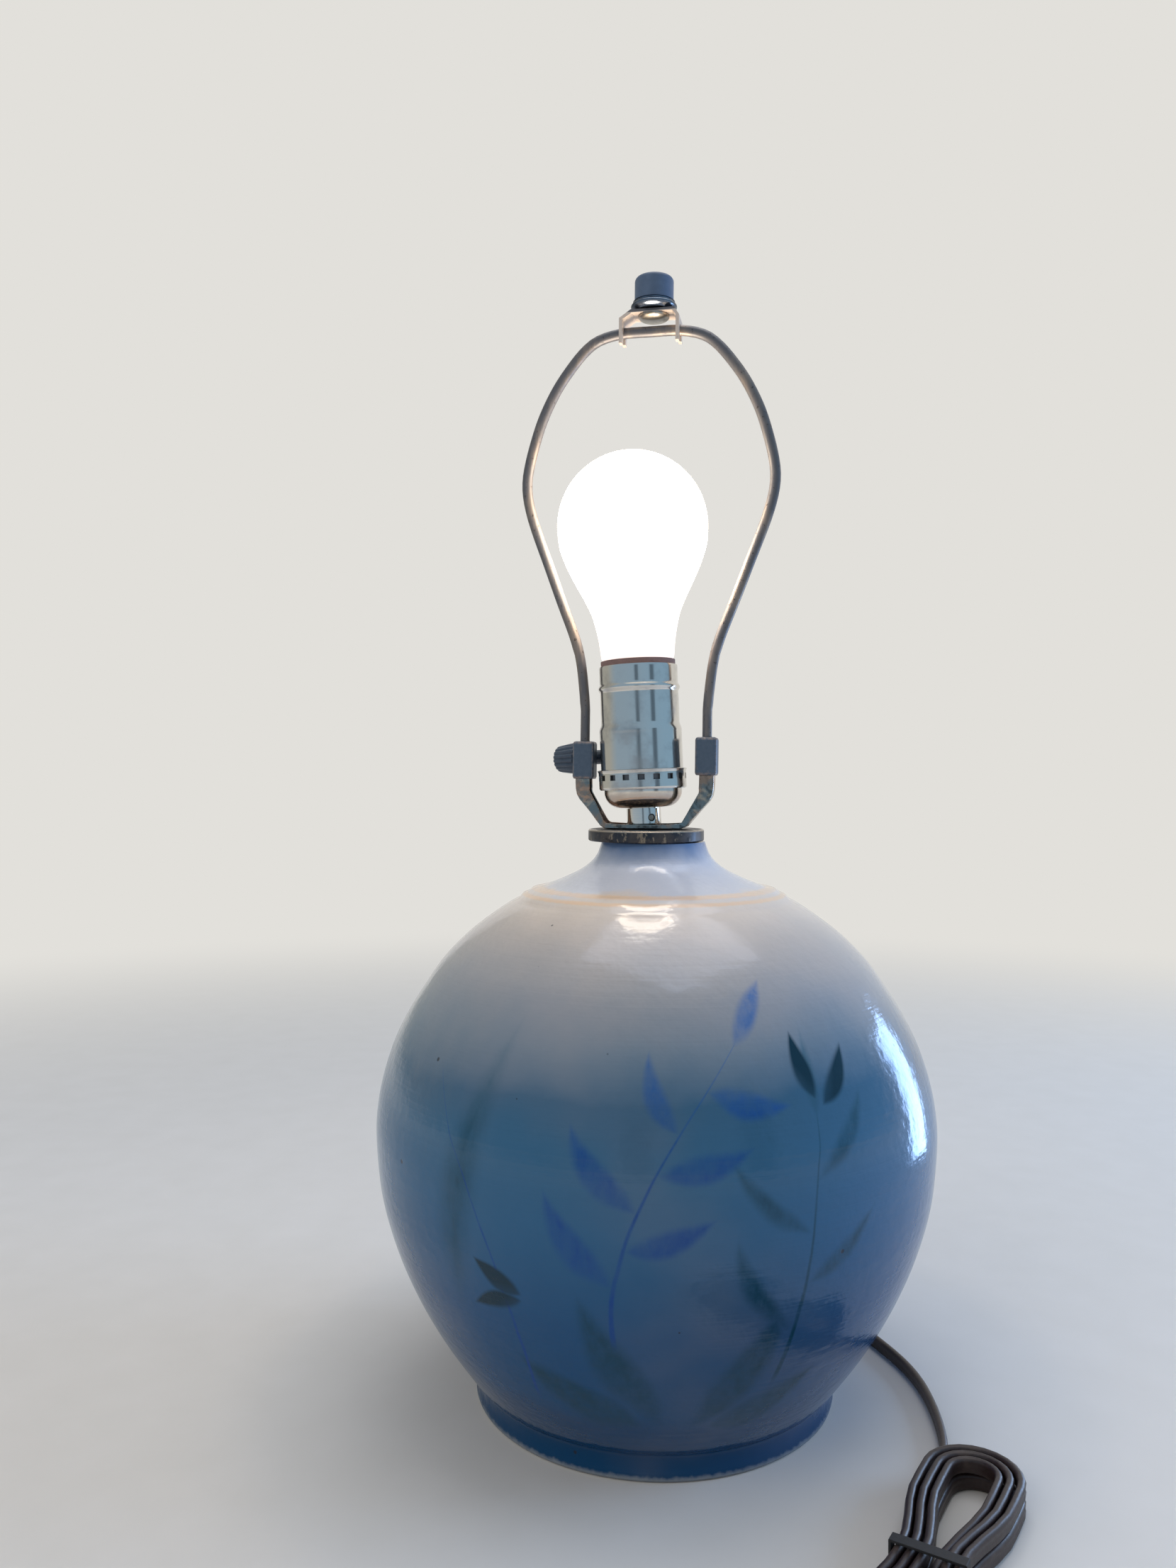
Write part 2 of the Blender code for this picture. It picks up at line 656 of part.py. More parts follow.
def make_harp(iron, harp_frame):
    """One wire, round over the top and pressed flatter down the legs."""
    line = harp_line()
    step = np.gradient(line, axis=0)
    step[0], step[-1] = (0, 1), (0, -1)
    step /= np.linalg.norm(step, axis=1)[:, None]
    rings = []
    for (x, z), (dx, dz) in zip(line, step):
        roundness = blend(z, HARP_STRAIGHT, HARP_SQUARE_END)
        thick = between(HARP_LEG_THICKNESS, HARP_WIRE, roundness) / 2
        wide = between(HARP_LEG_WIDTH, HARP_WIRE, roundness) / 2
        power = between(0.55, 1.0, roundness)
        ring = []
        for i in range(WIRE_STEPS):
            angle = math.tau * (i + 0.5) / WIRE_STEPS
            c, s = math.cos(angle), math.sin(angle)
            out = math.copysign(abs(c) ** power, c) * thick
            across = math.copysign(abs(s) ** power, s) * wide
            ring.append((x + dz * out, across, z - dx * out))
        rings.append(ring)
    return solid("harp_bow", lofted_mesh(rings), iron, harp_frame)


def make_sleeve(side, plastic, harp_frame):
    """A sleeve on one leg: closed at the top but for the leg's hole, and open below round the saddle."""
    sign = 1 if side == "right" else -1
    x = sign * HARP_LEG_X
    low = SLEEVE_BOTTOM_RIGHT if side == "right" else SLEEVE_BOTTOM_LEFT
    high = low + SLEEVE_HEIGHT
    axis = axis_empty(f"sleeve_{side}_axis", Matrix.Translation((x, 0, (low + high) / 2)), harp_frame)
    half = SLEEVE_HEIGHT / 2
    shape = box_mesh((SLEEVE_WIDTH, SLEEVE_DEPTH, SLEEVE_HEIGHT), (0, 0, 0), SLEEVE_EDGE)
    sleeve = solid(f"sleeve_{side}", shape, plastic, axis)
    inner = (SLEEVE_WIDTH - 2 * SLEEVE_WALL, SLEEVE_DEPTH - 2 * SLEEVE_WALL)
    depth = SLEEVE_HEIGHT - SLEEVE_TOP + OVERRUN
    pocket = box_mesh((*inner, depth), (0, 0, half - SLEEVE_TOP - depth / 2))
    cut(sleeve, f"sleeve_{side}_pocket", pocket, axis)
    leg = (HARP_LEG_THICKNESS + 2 * GAP, HARP_LEG_WIDTH + 2 * GAP, SLEEVE_TOP + 2 * OVERRUN)
    cut(sleeve, f"sleeve_{side}_hole", box_mesh(leg, (0, 0, half)), axis)
    return sleeve


def wire_height_at(x):
    """Height of the harp's centre line near the top, at a place along it."""
    line = harp_line()
    top = line[line[:, 1] > HARP_HEIGHT * 0.9]
    return float(np.interp(x, top[:, 0], top[:, 1]))


def make_bracket(nickel, steel, slate, skirt_metal, harp_frame):
    """The bracket that turns on the wire, with its riveted stud and the finial on it."""
    leg_x = BRACKET_WIDTH / 2
    hinge_z = wire_height_at(leg_x - BRACKET_THICKNESS / 2)
    hinge = Matrix.Translation((0, 0, hinge_z)) @ Matrix.Rotation(math.pi / 2, 4, "Y")
    axis = axis_empty("bracket_axis", hinge, harp_frame)
    upright = axis_empty("bracket_upright", Matrix.Rotation(-math.pi / 2, 4, "Y"), axis)
    top = BRACKET_ABOVE_WIRE
    low = -BRACKET_BELOW_WIRE
    wall = BRACKET_THICKNESS
    outline = [
        (-leg_x, low),
        (-leg_x, top - BRACKET_BEVEL_DROP),
        (-leg_x + BRACKET_LEFT_BEVEL, top),
        (leg_x - BRACKET_RIGHT_BEVEL, top),
        (leg_x, top - BRACKET_BEVEL_DROP),
        (leg_x, low),
    ]
    inner = [
        (leg_x - wall, low),
        (leg_x - wall, top - BRACKET_BEVEL_DROP),
        (leg_x - BRACKET_RIGHT_BEVEL - wall * 0.6, top - wall),
        (-leg_x + BRACKET_LEFT_BEVEL + wall * 0.4, top - wall),
        (-leg_x + wall, top - BRACKET_BEVEL_DROP - wall * 0.5),
        (-leg_x + wall, low),
    ]
    section = outline + inner
    half = BRACKET_DEPTH / 2
    rings = [[(x, -half, z) for x, z in section], [(x, half, z) for x, z in section]]
    bracket = solid("harp_bracket", lofted_mesh(rings), nickel, upright)
    slot_half = HARP_WIRE / 2 + GAP
    slot = box_mesh((BRACKET_WIDTH + 2 * OVERRUN, 2 * slot_half, BRACKET_BELOW_WIRE + OVERRUN), (0, 0, 0))
    bmesh.ops.translate(slot, verts=slot.verts, vec=(0, 0, -(BRACKET_BELOW_WIRE + OVERRUN) / 2))
    cut(bracket, "wire_slot", slot, upright)
    reach = leg_x + OVERRUN
    cut(bracket, "wire_slot_end", cylinder_mesh(slot_half, (-reach, 0, 0), (reach, 0, 0)), upright)
    rear = box_mesh(
        (BRACKET_WIDTH + 2 * OVERRUN, BRACKET_DEPTH, 2 * BRACKET_REAR_SHORTER),
        (0, BRACKET_DEPTH / 2, -BRACKET_BELOW_WIRE),
    )
    cut(bracket, "rear_prong_end", rear, upright)
    stud_hole = cylinder_mesh(STUD_RADIUS + GAP, (STUD_SHIFT, 0, top - wall - OVERRUN), (STUD_SHIFT, 0, top + OVERRUN))
    cut(bracket, "stud_hole", stud_hole, upright)

    finial_axis = axis_empty("finial_axis", Matrix.Translation((STUD_SHIFT, 0, 0)), upright)
    head_top = top - wall - GAP
    stud = [
        (0, head_top - STUD_HEAD_HEIGHT),
        (STUD_HEAD_RADIUS * 0.72, head_top - STUD_HEAD_HEIGHT * 0.86),
        (STUD_HEAD_RADIUS * 0.94, head_top - STUD_HEAD_HEIGHT * 0.5),
        (STUD_HEAD_RADIUS, head_top - STUD_HEAD_HEIGHT * 0.2),
        (STUD_HEAD_RADIUS, head_top),
        (STUD_RADIUS, head_top),
        (STUD_RADIUS, top + STUD_LENGTH - STUD_RADIUS * 0.2),
        (STUD_RADIUS * 0.8, top + STUD_LENGTH),
        (0, top + STUD_LENGTH),
    ]
    turned("bracket_stud", stud, steel, finial_axis, steps=SMALL_STEPS)
    make_finial(slate, skirt_metal, finial_axis, top + GAP)


def make_finial(slate, skirt_metal, finial_axis, seat):
    """A cap with a soft top edge, on a skirt with beads round its rim."""
    bore = STUD_RADIUS + GAP
    level_shares = [
        (SKIRT_RADIUS * 0.80, seat, 0.2),
        (SKIRT_RADIUS * 0.91, seat + SKIRT_HEIGHT * 0.26, 0.8),
        (SKIRT_RADIUS, seat + SKIRT_HEIGHT * 0.55, 1.0),
        (SKIRT_RADIUS * 0.91, seat + SKIRT_HEIGHT, 0.0),
    ]
    count = SKIRT_BEADS * 3
    rings = []
    for radius, height, share in level_shares:
        ring = []
        for i in range(count):
            angle = math.tau * i / count
            dip = SKIRT_BEAD_DEPTH * share * (0.5 - 0.5 * math.cos(SKIRT_BEADS * angle))
            ring.append(((radius - dip) * math.cos(angle), (radius - dip) * math.sin(angle), height))
        rings.append(ring)
    skirt = solid("finial_base", lofted_mesh(rings), skirt_metal, finial_axis)
    cup_radius = FINIAL_RADIUS + GAP
    cup = cylinder_mesh(
        cup_radius, (0, 0, seat + SKIRT_FLOOR), (0, 0, seat + SKIRT_HEIGHT + OVERRUN), steps=TUBE_STEPS
    )
    cut(skirt, "skirt_cup", cup, finial_axis)
    through = cylinder_mesh(bore, (0, 0, seat - OVERRUN), (0, 0, seat + SKIRT_FLOOR + OVERRUN))
    cut(skirt, "skirt_bore", through, finial_axis)
    low = seat + SKIRT_FLOOR + GAP
    high = low + FINIAL_HEIGHT
    outline = [
        (0, low + FINIAL_BORE_DEPTH),
        (bore, low + FINIAL_BORE_DEPTH),
        (bore, low),
        (FINIAL_RADIUS, low),
        (FINIAL_RADIUS, high - FINIAL_EDGE),
        (FINIAL_RADIUS - FINIAL_EDGE * 0.29, high - FINIAL_EDGE * 0.29),
        (FINIAL_RADIUS - FINIAL_EDGE, high),
        (0, high),
    ]
    turned("finial_cap", outline, slate, finial_axis, steps=DISC_STEPS)


def make_socket_cap(nickel, steel, socket_frame):
    """The hub with its set screw, and the domed cap whose band is pierced by a row of slots."""
    hub = [
        (HUB_BORE, 0),
        (HUB_RADIUS, 0),
        (HUB_RADIUS, HUB_HEIGHT),
        (HUB_SPIGOT_RADIUS, HUB_HEIGHT),
        (HUB_SPIGOT_RADIUS, HUB_HEIGHT + HUB_SPIGOT_HEIGHT),
        (HUB_BORE, HUB_HEIGHT + HUB_SPIGOT_HEIGHT),
    ]
    hub = turned("cap_hub", hub, nickel, socket_frame, steps=TUBE_STEPS)
    way = Vector((math.cos(SET_SCREW_ANGLE), math.sin(SET_SCREW_ANGLE), 0))
    lift = Vector((0, 0, SET_SCREW_HEIGHT))
    start, end = way * (HUB_BORE - OVERRUN) + lift, way * (HUB_RADIUS + OVERRUN) + lift
    cut(hub, "set_screw_hole", cylinder_mesh(SET_SCREW_RADIUS + GAP, start, end, steps=12), socket_frame)
    inner, outer = way * (HUB_BORE + GAP) + lift, way * (HUB_RADIUS - GAP) + lift
    solid("cap_set_screw", cylinder_mesh(SET_SCREW_RADIUS, inner, outer, steps=12), steel, socket_frame)

    line = [(HUB_SPIGOT_RADIUS + GAP, DOME_BOTTOM), (DOME_FLAT_RADIUS, DOME_BOTTOM)]
    for share in (0.34, 0.67, 1.0):
        angle = share * math.pi / 2
        line.append(
            (
                DOME_FLAT_RADIUS + (DOME_RADIUS - DOME_FLAT_RADIUS) * math.sin(angle),
                DOME_BOTTOM + DOME_HEIGHT * (1 - math.cos(angle)) * 0.93,
            )
        )
    line += [
        (DOME_RADIUS, BAND_BOTTOM),
        (BAND_RADIUS, BAND_BOTTOM + CAP_SHEET),
        (BAND_RADIUS, BAND_TOP - CAP_SHEET * 1.5),
        (BAND_RADIUS + BAND_LIP, BAND_TOP),
    ]
    cap = turned("socket_cap", drawn(line, CAP_SHEET), nickel, socket_frame, steps=CAP_STEPS)
    slots = bmesh.new()
    for i in range(SLOT_COUNT):
        place = (
            Matrix.Rotation(math.tau * (i + SLOT_PHASE_SHARE) / SLOT_COUNT, 4, "Z")
            @ Matrix.Translation((BAND_RADIUS, 0, BAND_TOP - SLOT_BELOW_RIM))
            @ Matrix.Diagonal((2 * OVERRUN, SLOT_WIDTH, SLOT_HEIGHT, 1))
        )
        bmesh.ops.create_cube(slots, size=1, matrix=place)
    cut(cap, "band_slots", slots, socket_frame)
    return cap


def switch_way():
    return Vector((math.cos(SWITCH_ANGLE), math.sin(SWITCH_ANGLE), 0))


def switch_notch(radius, width, low):
    """A cutter for the notch that the switch shaft passes through: round at the top, open below."""
    way, lift = switch_way(), Vector((0, 0, SWITCH_HEIGHT))
    start, end = way * SHAFT_INNER + lift, way * (radius + OVERRUN) + lift
    mesh = cylinder_mesh(width / 2, start, end)
    depth = SWITCH_HEIGHT - low
    place = (
        Matrix.Rotation(SWITCH_ANGLE, 4, "Z")
        @ Matrix.Translation(((SHAFT_INNER + radius + OVERRUN) / 2, 0, low + depth / 2))
        @ Matrix.Diagonal((radius + OVERRUN - SHAFT_INNER, width, depth, 1))
    )
    slot = bmesh.new()
    bmesh.ops.create_cube(slot, size=1, matrix=place)
    return mesh, slot


def make_shell(nickel, cardboard, socket_frame):
    """The thin shell with its step and rolled bead, and the cardboard liner inside it."""
    bottom = BAND_TOP - SHELL_IN_CAP
    bead_low, bead_high = SHELL_BEAD - SHELL_BEAD_HEIGHT / 2, SHELL_BEAD + SHELL_BEAD_HEIGHT / 2
    line = [
        (SHELL_LOW_RADIUS, bottom),
        (SHELL_LOW_RADIUS, SHELL_STEP),
        (SHELL_RADIUS, SHELL_STEP + SHELL_STEP_HEIGHT),
        (SHELL_RADIUS, bead_low),
        (SHELL_RADIUS + SHELL_BEAD_DEPTH * 0.8, between(bead_low, bead_high, 0.25)),
        (SHELL_RADIUS + SHELL_BEAD_DEPTH, SHELL_BEAD),
        (SHELL_RADIUS + SHELL_BEAD_DEPTH * 0.8, between(bead_low, bead_high, 0.75)),
        (SHELL_RADIUS, bead_high),
        (SHELL_RADIUS, SHELL_TOP),
    ]
    shell = turned("socket_shell", drawn(line, SHELL_SHEET), nickel, socket_frame)
    liner_inner = LINER_RADIUS - LINER_SHEET
    tube = [
        (LINER_RADIUS, LINER_BOTTOM),
        (LINER_RADIUS, LINER_TOP),
        (liner_inner, LINER_TOP),
        (liner_inner, LINER_BOTTOM),
    ]
    liner = turned("socket_liner", tube, cardboard, socket_frame)
    for piece, name in ((shell, "shell_notch"), (liner, "liner_notch")):
        for part, mesh in zip(("round", "slot"), switch_notch(SHELL_LOW_RADIUS, NOTCH_WIDTH, INTERIOR_BOTTOM - OVERRUN)):
            cut(piece, f"{name}_{part}", mesh, socket_frame)


def make_interior(phenolic, brass, tin, socket_frame):
    """The moulded inside with its two terminals, the screw shell and the centre contact."""
    radius = LINER_RADIUS - LINER_SHEET - GAP
    outline = [
        (0, INTERIOR_BOTTOM),
        (radius - INTERIOR_CHAMFER, INTERIOR_BOTTOM),
        (radius, INTERIOR_BOTTOM + INTERIOR_CHAMFER),
        (radius, INTERIOR_TOP),
        (0, INTERIOR_TOP),
    ]
    inside = turned("socket_interior", outline, phenolic, socket_frame)
    way, lift = switch_way(), Vector((0, 0, SWITCH_HEIGHT))
    tunnel = cylinder_mesh(SHAFT_RADIUS + GAP, way * (SHAFT_INNER - GAP) + lift, way * (radius + OVERRUN) + lift)
    cut(inside, "shaft_hole", tunnel, socket_frame)
    for sign, name, metal in ((-1, "hot", brass), (1, "neutral", tin)):
        depth = radius - TERMINAL_FLAT + OVERRUN
        height = TERMINAL_FLAT_TOP - INTERIOR_BOTTOM + OVERRUN
        size = (TERMINAL_FLAT_WIDTH, depth, height)
        centre = (0, sign * (TERMINAL_FLAT + depth / 2), TERMINAL_FLAT_TOP - height / 2)
        cut(inside, f"terminal_{name}_flat", box_mesh(size, centre), socket_frame)
        face = TERMINAL_FLAT + GAP
        start, end = (0, sign * face, TERMINAL_HEIGHT), (0, sign * (face + TERMINAL_HEAD), TERMINAL_HEIGHT)
        solid(f"terminal_screw_{name}", cylinder_mesh(TERMINAL_RADIUS, start, end, 14), metal, socket_frame)
    sheet = SCREW_SHELL_SHEET
    floor = INTERIOR_TOP + GAP
    line = [
        (SCREW_SHELL_FLOOR_RADIUS, floor),
        (radius - sheet, floor),
        (radius, floor + sheet),
        (radius, SCREW_SHELL_TOP),
    ]
    turned("socket_screw_shell", drawn(line, sheet), brass, socket_frame)
    contact = [
        (0, floor),
        (CONTACT_RADIUS, floor),
        (CONTACT_RADIUS, floor + CONTACT_THICKNESS),
        (0, floor + CONTACT_THICKNESS),
    ]
    turned("centre_contact", contact, brass, socket_frame, steps=SMALL_STEPS)


def make_switch(black, socket_frame):
    """The stepped shaft and the fluted knob pressed on it, both on the switch's axis."""
    way = switch_way()
    place = Matrix.Translation((0, 0, SWITCH_HEIGHT)) @ way.to_track_quat("Z", "Y").to_matrix().to_4x4()
    axis = axis_empty("switch_axis", place, socket_frame)
    shoulder = KNOB_START - GAP
    shaft = [
        (0, SHAFT_INNER),
        (SHAFT_RADIUS, SHAFT_INNER),
        (SHAFT_RADIUS, shoulder),
        (SHAFT_TIP_RADIUS, shoulder),
        (SHAFT_TIP_RADIUS, shoulder + SHAFT_TIP),
        (0, shoulder + SHAFT_TIP),
    ]
    turned("switch_shaft", shaft, black, axis, steps=16)
    count = KNOB_FLUTES * 4
    level_shares = ((0.0, 0.92, 0.0), (0.10, 1.0, 1.0), (0.93, 0.0, 1.0), (1.0, 0.0, 0.0))
    rings = []
    for along, wide, flute in level_shares:
        share = wide if wide else between(1.0, KNOB_TAPER_SHARE, along) - 0.05 * blend(along, 0.9, 1.0)
        ring = []
        for i in range(count):
            angle = math.tau * i / count
            dip = KNOB_FLUTE_DEPTH * flute * (0.5 - 0.5 * math.cos(KNOB_FLUTES * angle))
            radius = KNOB_RADIUS * share - dip
            ring.append((radius * math.cos(angle), radius * math.sin(angle), KNOB_START + KNOB_LENGTH * along))
        rings.append(ring)
    knob = solid("switch_knob", lofted_mesh(rings), black, axis)
    start, end = (0, 0, KNOB_START - OVERRUN), (0, 0, KNOB_START + KNOB_BORE_DEPTH)
    cut(knob, "knob_bore", cylinder_mesh(SHAFT_TIP_RADIUS + GAP, start, end, steps=16), axis)


def bulb_line():
    """The glass from its throat in the base, out over the shoulder and up to the crown."""
    widest = BULB_TOP - BULB_RADIUS
    line = [
        (BULB_THROAT_RADIUS, BULB_THROAT_BOTTOM),
        (BULB_THROAT_RADIUS, BASE_TOP - GAP),
        (BULB_THROAT_RADIUS + GAP, BASE_TOP + GAP),
        (BULB_NECK_RADIUS - 3 * GAP, BASE_TOP + 3 * GAP),
    ]
    cone = [
        (between(BULB_NECK_RADIUS, BULB_RADIUS, out), between(BULB_NECK_HEIGHT, widest, up))
        for out, up in reversed(BULB_CONE_SHARES)
    ]
    crown = [
        (BULB_RADIUS * math.cos(angle), widest + BULB_RADIUS * math.sin(angle))
        for angle in (math.radians(18 * i) for i in range(5))
    ]
    return line + cone + crown


def make_bulb(frosted, glass, aluminium, black_glass, tungsten, bulb_axis):
    """The bulb: envelope, stem and filament over a screw base with its insulator and tip."""
    outer = bulb_line()
    shell = drawn(outer, BULB_GLASS)
    inner = shell[len(outer) :]
    section = [(0, BULB_TOP - BULB_GLASS)] + inner + outer + [(0, BULB_TOP)]
    turned("bulb_envelope", section, frosted, bulb_axis, steps=BULB_STEPS)
    sheet = BASE_SHEET
    base = [
        (BASE_BOTTOM_RADIUS - sheet, BASE_BOTTOM),
        (BASE_BOTTOM_RADIUS, BASE_BOTTOM + sheet / 2),
        (BASE_RADIUS, BASE_TAPER_TOP),
        (BASE_RADIUS, BASE_TOP),
    ]
    turned("bulb_screw_base", drawn(base, sheet), aluminium, bulb_axis, steps=BULB_STEPS)
    seat = BASE_BOTTOM - GAP
    insulator = [
        (0, INSULATOR_BOTTOM),
        (TIP_RADIUS * 1.2, INSULATOR_BOTTOM),
        (INSULATOR_RADIUS, between(INSULATOR_BOTTOM, seat, 0.4)),
        (BASE_BOTTOM_RADIUS - sheet, seat),
        (0, seat),
    ]
    turned("bulb_base_insulator", insulator, black_glass, bulb_axis, steps=SMALL_STEPS)
    tip_top = INSULATOR_BOTTOM - GAP
    tip = [(0, TIP_BOTTOM), (TIP_RADIUS * 0.6, TIP_BOTTOM + GAP / 2), (TIP_RADIUS, tip_top), (0, tip_top)]
    turned("bulb_tip_contact", tip, aluminium, bulb_axis, steps=16)
    stem = [
        (0, STEM_BOTTOM),
        (STEM_FLARE_RADIUS, STEM_BOTTOM),
        (STEM_FLARE_RADIUS - BULB_GLASS, STEM_BOTTOM + BULB_GLASS),
        (STEM_RADIUS * 1.15, STEM_BOTTOM + STEM_FLARE_HEIGHT),
        (STEM_RADIUS, between(STEM_BOTTOM, STEM_TOP, 0.6)),
        (STEM_RADIUS * 0.5, STEM_TOP - STEM_RADIUS),
        (0, STEM_TOP),
    ]
    turned("bulb_stem", stem, glass, bulb_axis, steps=16)
    make_filament(tungsten, bulb_axis)


def make_filament(tungsten, bulb_axis):
    """Two leads that rise beside the stem and carry the filament between them."""
    low = STEM_BOTTOM + STEM_FLARE_HEIGHT
    foot = STEM_RADIUS * 1.15 + FILAMENT_WIRE
    top = STEM_TOP + FILAMENT_HEIGHT
    side = [(foot, low), (foot, between(low, STEM_TOP, 0.5)), (FILAMENT_HALF_WIDTH, top - FILAMENT_HEIGHT * 0.4)]
    side += [(FILAMENT_HALF_WIDTH * 0.95, top)]
    line = [(-x, z) for x, z in side] + [(0, top + FILAMENT_WIRE)] + side[::-1]
    points = [(x, 0, z) for x, z in smooth_line(line, 26)]
    tube("bulb_filament", points, FILAMENT_WIRE / 2, tungsten, bulb_axis, resolution=0)


def tube(name, points, radius, material, parent=None, edge_on=0.0, resolution=1):
    """A curve with a round section, or a flat one that stands edge_on high between its rounded edges."""
    curve = bpy.data.curves.new(name, "CURVE")
    curve.dimensions = "3D"
    curve.twist_mode = "Z_UP"
    curve.bevel_depth = radius
    curve.extrude = edge_on
    curve.bevel_resolution = resolution
    curve.use_fill_caps = True
    spline = curve.splines.new("POLY")
    spline.points.add(len(points) - 1)
    for point, place in zip(spline.points, points):
        point.co = (*place, 1)
    curve.materials.append(material)
    made = placed(name, curve, parent)
    seam = made.modifiers.new("close_seam", "WELD")
    seam.merge_threshold = MERGE
    return made


def exit_point(distance, height=EXIT_HEIGHT):
    """A place on the way out of the pot's foot, at a distance from the pot's axis."""
    return (distance * math.cos(EXIT_ANGLE), distance * math.sin(EXIT_ANGLE), height)


def make_grommet(rubber):
    """A bush in the hole through the foot, with a lip outside and an oval bore for the cord."""
    inner = FOOT_RADIUS - FOOT_RING_WIDTH
    face = FOOT_RADIUS + FOOT_ROLL + GAP * 1.5
    outer = face + GROMMET_LIP
    way = Vector((math.cos(EXIT_ANGLE), math.sin(EXIT_ANGLE), 0))
    place = Matrix.Translation((0, 0, EXIT_HEIGHT)) @ way.to_track_quat("Z", "Y").to_matrix().to_4x4()
    axis = axis_empty("exit_axis", place)
    outline = [
        (0, inner),
        (GROMMET_RADIUS, inner),
        (GROMMET_RADIUS, face),
        (GROMMET_LIP_RADIUS, face),
        (GROMMET_LIP_RADIUS, outer - GROMMET_LIP * 0.4),
        (GROMMET_LIP_RADIUS - GROMMET_LIP * 0.4, outer),
        (0, outer),
    ]
    grommet = turned("cord_grommet", outline, rubber, axis, steps=SMALL_STEPS)
    half = (CORD_WIDTH - CORD_THICKNESS) / 2
    bore = tube_cutter("grommet_bore", inner - OVERRUN, outer + OVERRUN, CORD_THICKNESS / 2 + GAP, half)
    bore.hide_render = True
    bore.display_type = "WIRE"
    modifier = grommet.modifiers.new("bore", "BOOLEAN")
    modifier.operation = "DIFFERENCE"
    modifier.object = bore
    return outer


def tube_cutter(name, start, end, radius, edge_on):
    """A straight flat tube along the exit, as a mesh, to cut the grommet's bore."""
    way = Vector((math.cos(EXIT_ANGLE), math.sin(EXIT_ANGLE), 0))
    side = Vector((-way.y, way.x, 0))
    rings = []
    for distance in (start, end):
        ring = []
        for sign, first in ((1, 0), (-1, math.pi)):
            for i in range(7):
                angle = first + math.pi * i / 6
                across, up = radius * math.cos(angle), radius * math.sin(angle) + sign * edge_on
                ring.append(way * distance + side * across + Vector((0, 0, EXIT_HEIGHT + up)))
        rings.append(ring)
    return solid(name, lofted_mesh(rings), bpy.data.materials["black rubber"])


def make_inner_lead(rubber, outer):
    """The lead inside the lamp: under the floor from the grommet, and up the pipe to the terminals."""
    lean = Matrix.Translation((PIPE_SHIFT, 0, HUB_FOOT)) @ Matrix.Rotation(-SOCKET_LEAN, 4, "Y")
    top = lean @ Vector((0, 0, INTERIOR_BOTTOM - GAP))
    way = Vector((math.cos(EXIT_ANGLE), math.sin(EXIT_ANGLE), 0))
    foot = Vector((PIPE_SHIFT, 0, 0))
    ring_inner = FOOT_RADIUS - FOOT_RING_WIDTH
    low = INNER_LEAD_RADIUS + GAP * 2
    run = [(0.0, PIPE_BOTTOM * 2.2), (0.0004, PIPE_BOTTOM * 1.4), (0.0013, PIPE_BOTTOM * 0.8)]
    run += [(0.0034, low * 1.35), (0.0070, low), (0.0200, low), (ring_inner * 0.45, low * 1.15)]
    under = [foot + way * out + Vector((0, 0, up)) for out, up in run]
    last = [Vector(exit_point(d)) for d in (ring_inner * 0.84, ring_inner * 0.93, ring_inner + OVERRUN, outer)]
    upper = [Vector((PIPE_SHIFT, 0, BODY_HEIGHT * share)) for share in (0.95, 0.75, 0.5, 0.25)]
    inside = [top, lean @ Vector((0, 0, HUB_HEIGHT * 1.5))]
    line = smooth_line([tuple(p) for p in inside + upper + under + last], 42)
    tube("inner_lead", line, INNER_LEAD_RADIUS, rubber, resolution=1)


def hank_place(across, along, height):
    """A place in the hank's own sideways and lengthways directions, in the lamp's frame."""
    forward = (math.cos(HANK_HEADING), math.sin(HANK_HEADING))
    right = (forward[1], -forward[0])
    x = HANK_CENTRE[0] + right[0] * across + forward[0] * along
    y = HANK_CENTRE[1] + right[1] * across + forward[1] * along
    return (x, y, height)


def waist(along):
    """1 at the tie, half way along, and 0 from its reach on."""
    share = along / WAIST_REACH
    return math.cos(math.pi / 2 * share) ** 2 if abs(share) < 1 else 0


def hank_radius(run):
    return HANK_INNER_RADIUS + HANK_PITCH * HANK_SLOTS[run]


def hank_line():
    """The winding: in through the lower layer, up along an inner run, and out through the upper layer."""
    points = []
    last = len(HANK_SLOTS) - 1
    for run in range(last + 1):
        side = -1 if run % 2 == 0 else 1
        start, end = HANK_LAYERS[run]
        for i in range(HANK_PIECES + 1):
            share = i / HANK_PIECES
            along = side * HANK_RUN * (share - 0.5)
            across = side * (hank_radius(run) - WAIST_DRAW * waist(along))
            layer = between(start, end, blend(share, 0, 1))
            height = CORD_REST + HANK_LAYER * layer + TIE_LIFT * waist(along)
            points.append(hank_place(across, along, height))
        if run == last:
            break
        for i in range(1, HANK_PIECES):
            share = i / HANK_PIECES
            radius = between(hank_radius(run), hank_radius(run + 1), blend(share, 0, 1))
            angle = math.pi * share
            along = side * (HANK_RUN / 2 + radius * math.sin(angle))
            points.append(hank_place(side * radius * math.cos(angle), along, CORD_REST + HANK_LAYER * end))
    return points


def least_gap(line):
    """The least clear space between parts of the winding that aren't next to each other."""
    line = np.array(line)
    fine = np.vstack([a + (b - a) * t for a, b in zip(line, line[1:]) for t in np.linspace(0, 1, 8)])
    along = np.concatenate([[0], np.cumsum(np.linalg.norm(np.diff(fine, axis=0), axis=1))])
    best = HANK_RUN
    for i, point in enumerate(fine):
        far = np.abs(along - along[i]) > HANK_INNER_RADIUS * 3
        flat = np.linalg.norm(fine[far, :2] - point[:2], axis=1) - CORD_THICKNESS
        up = np.abs(fine[far, 2] - point[2]) - CORD_WIDTH
        if len(flat):
            best = min(best, float(np.maximum(flat, up).min()))
    return best


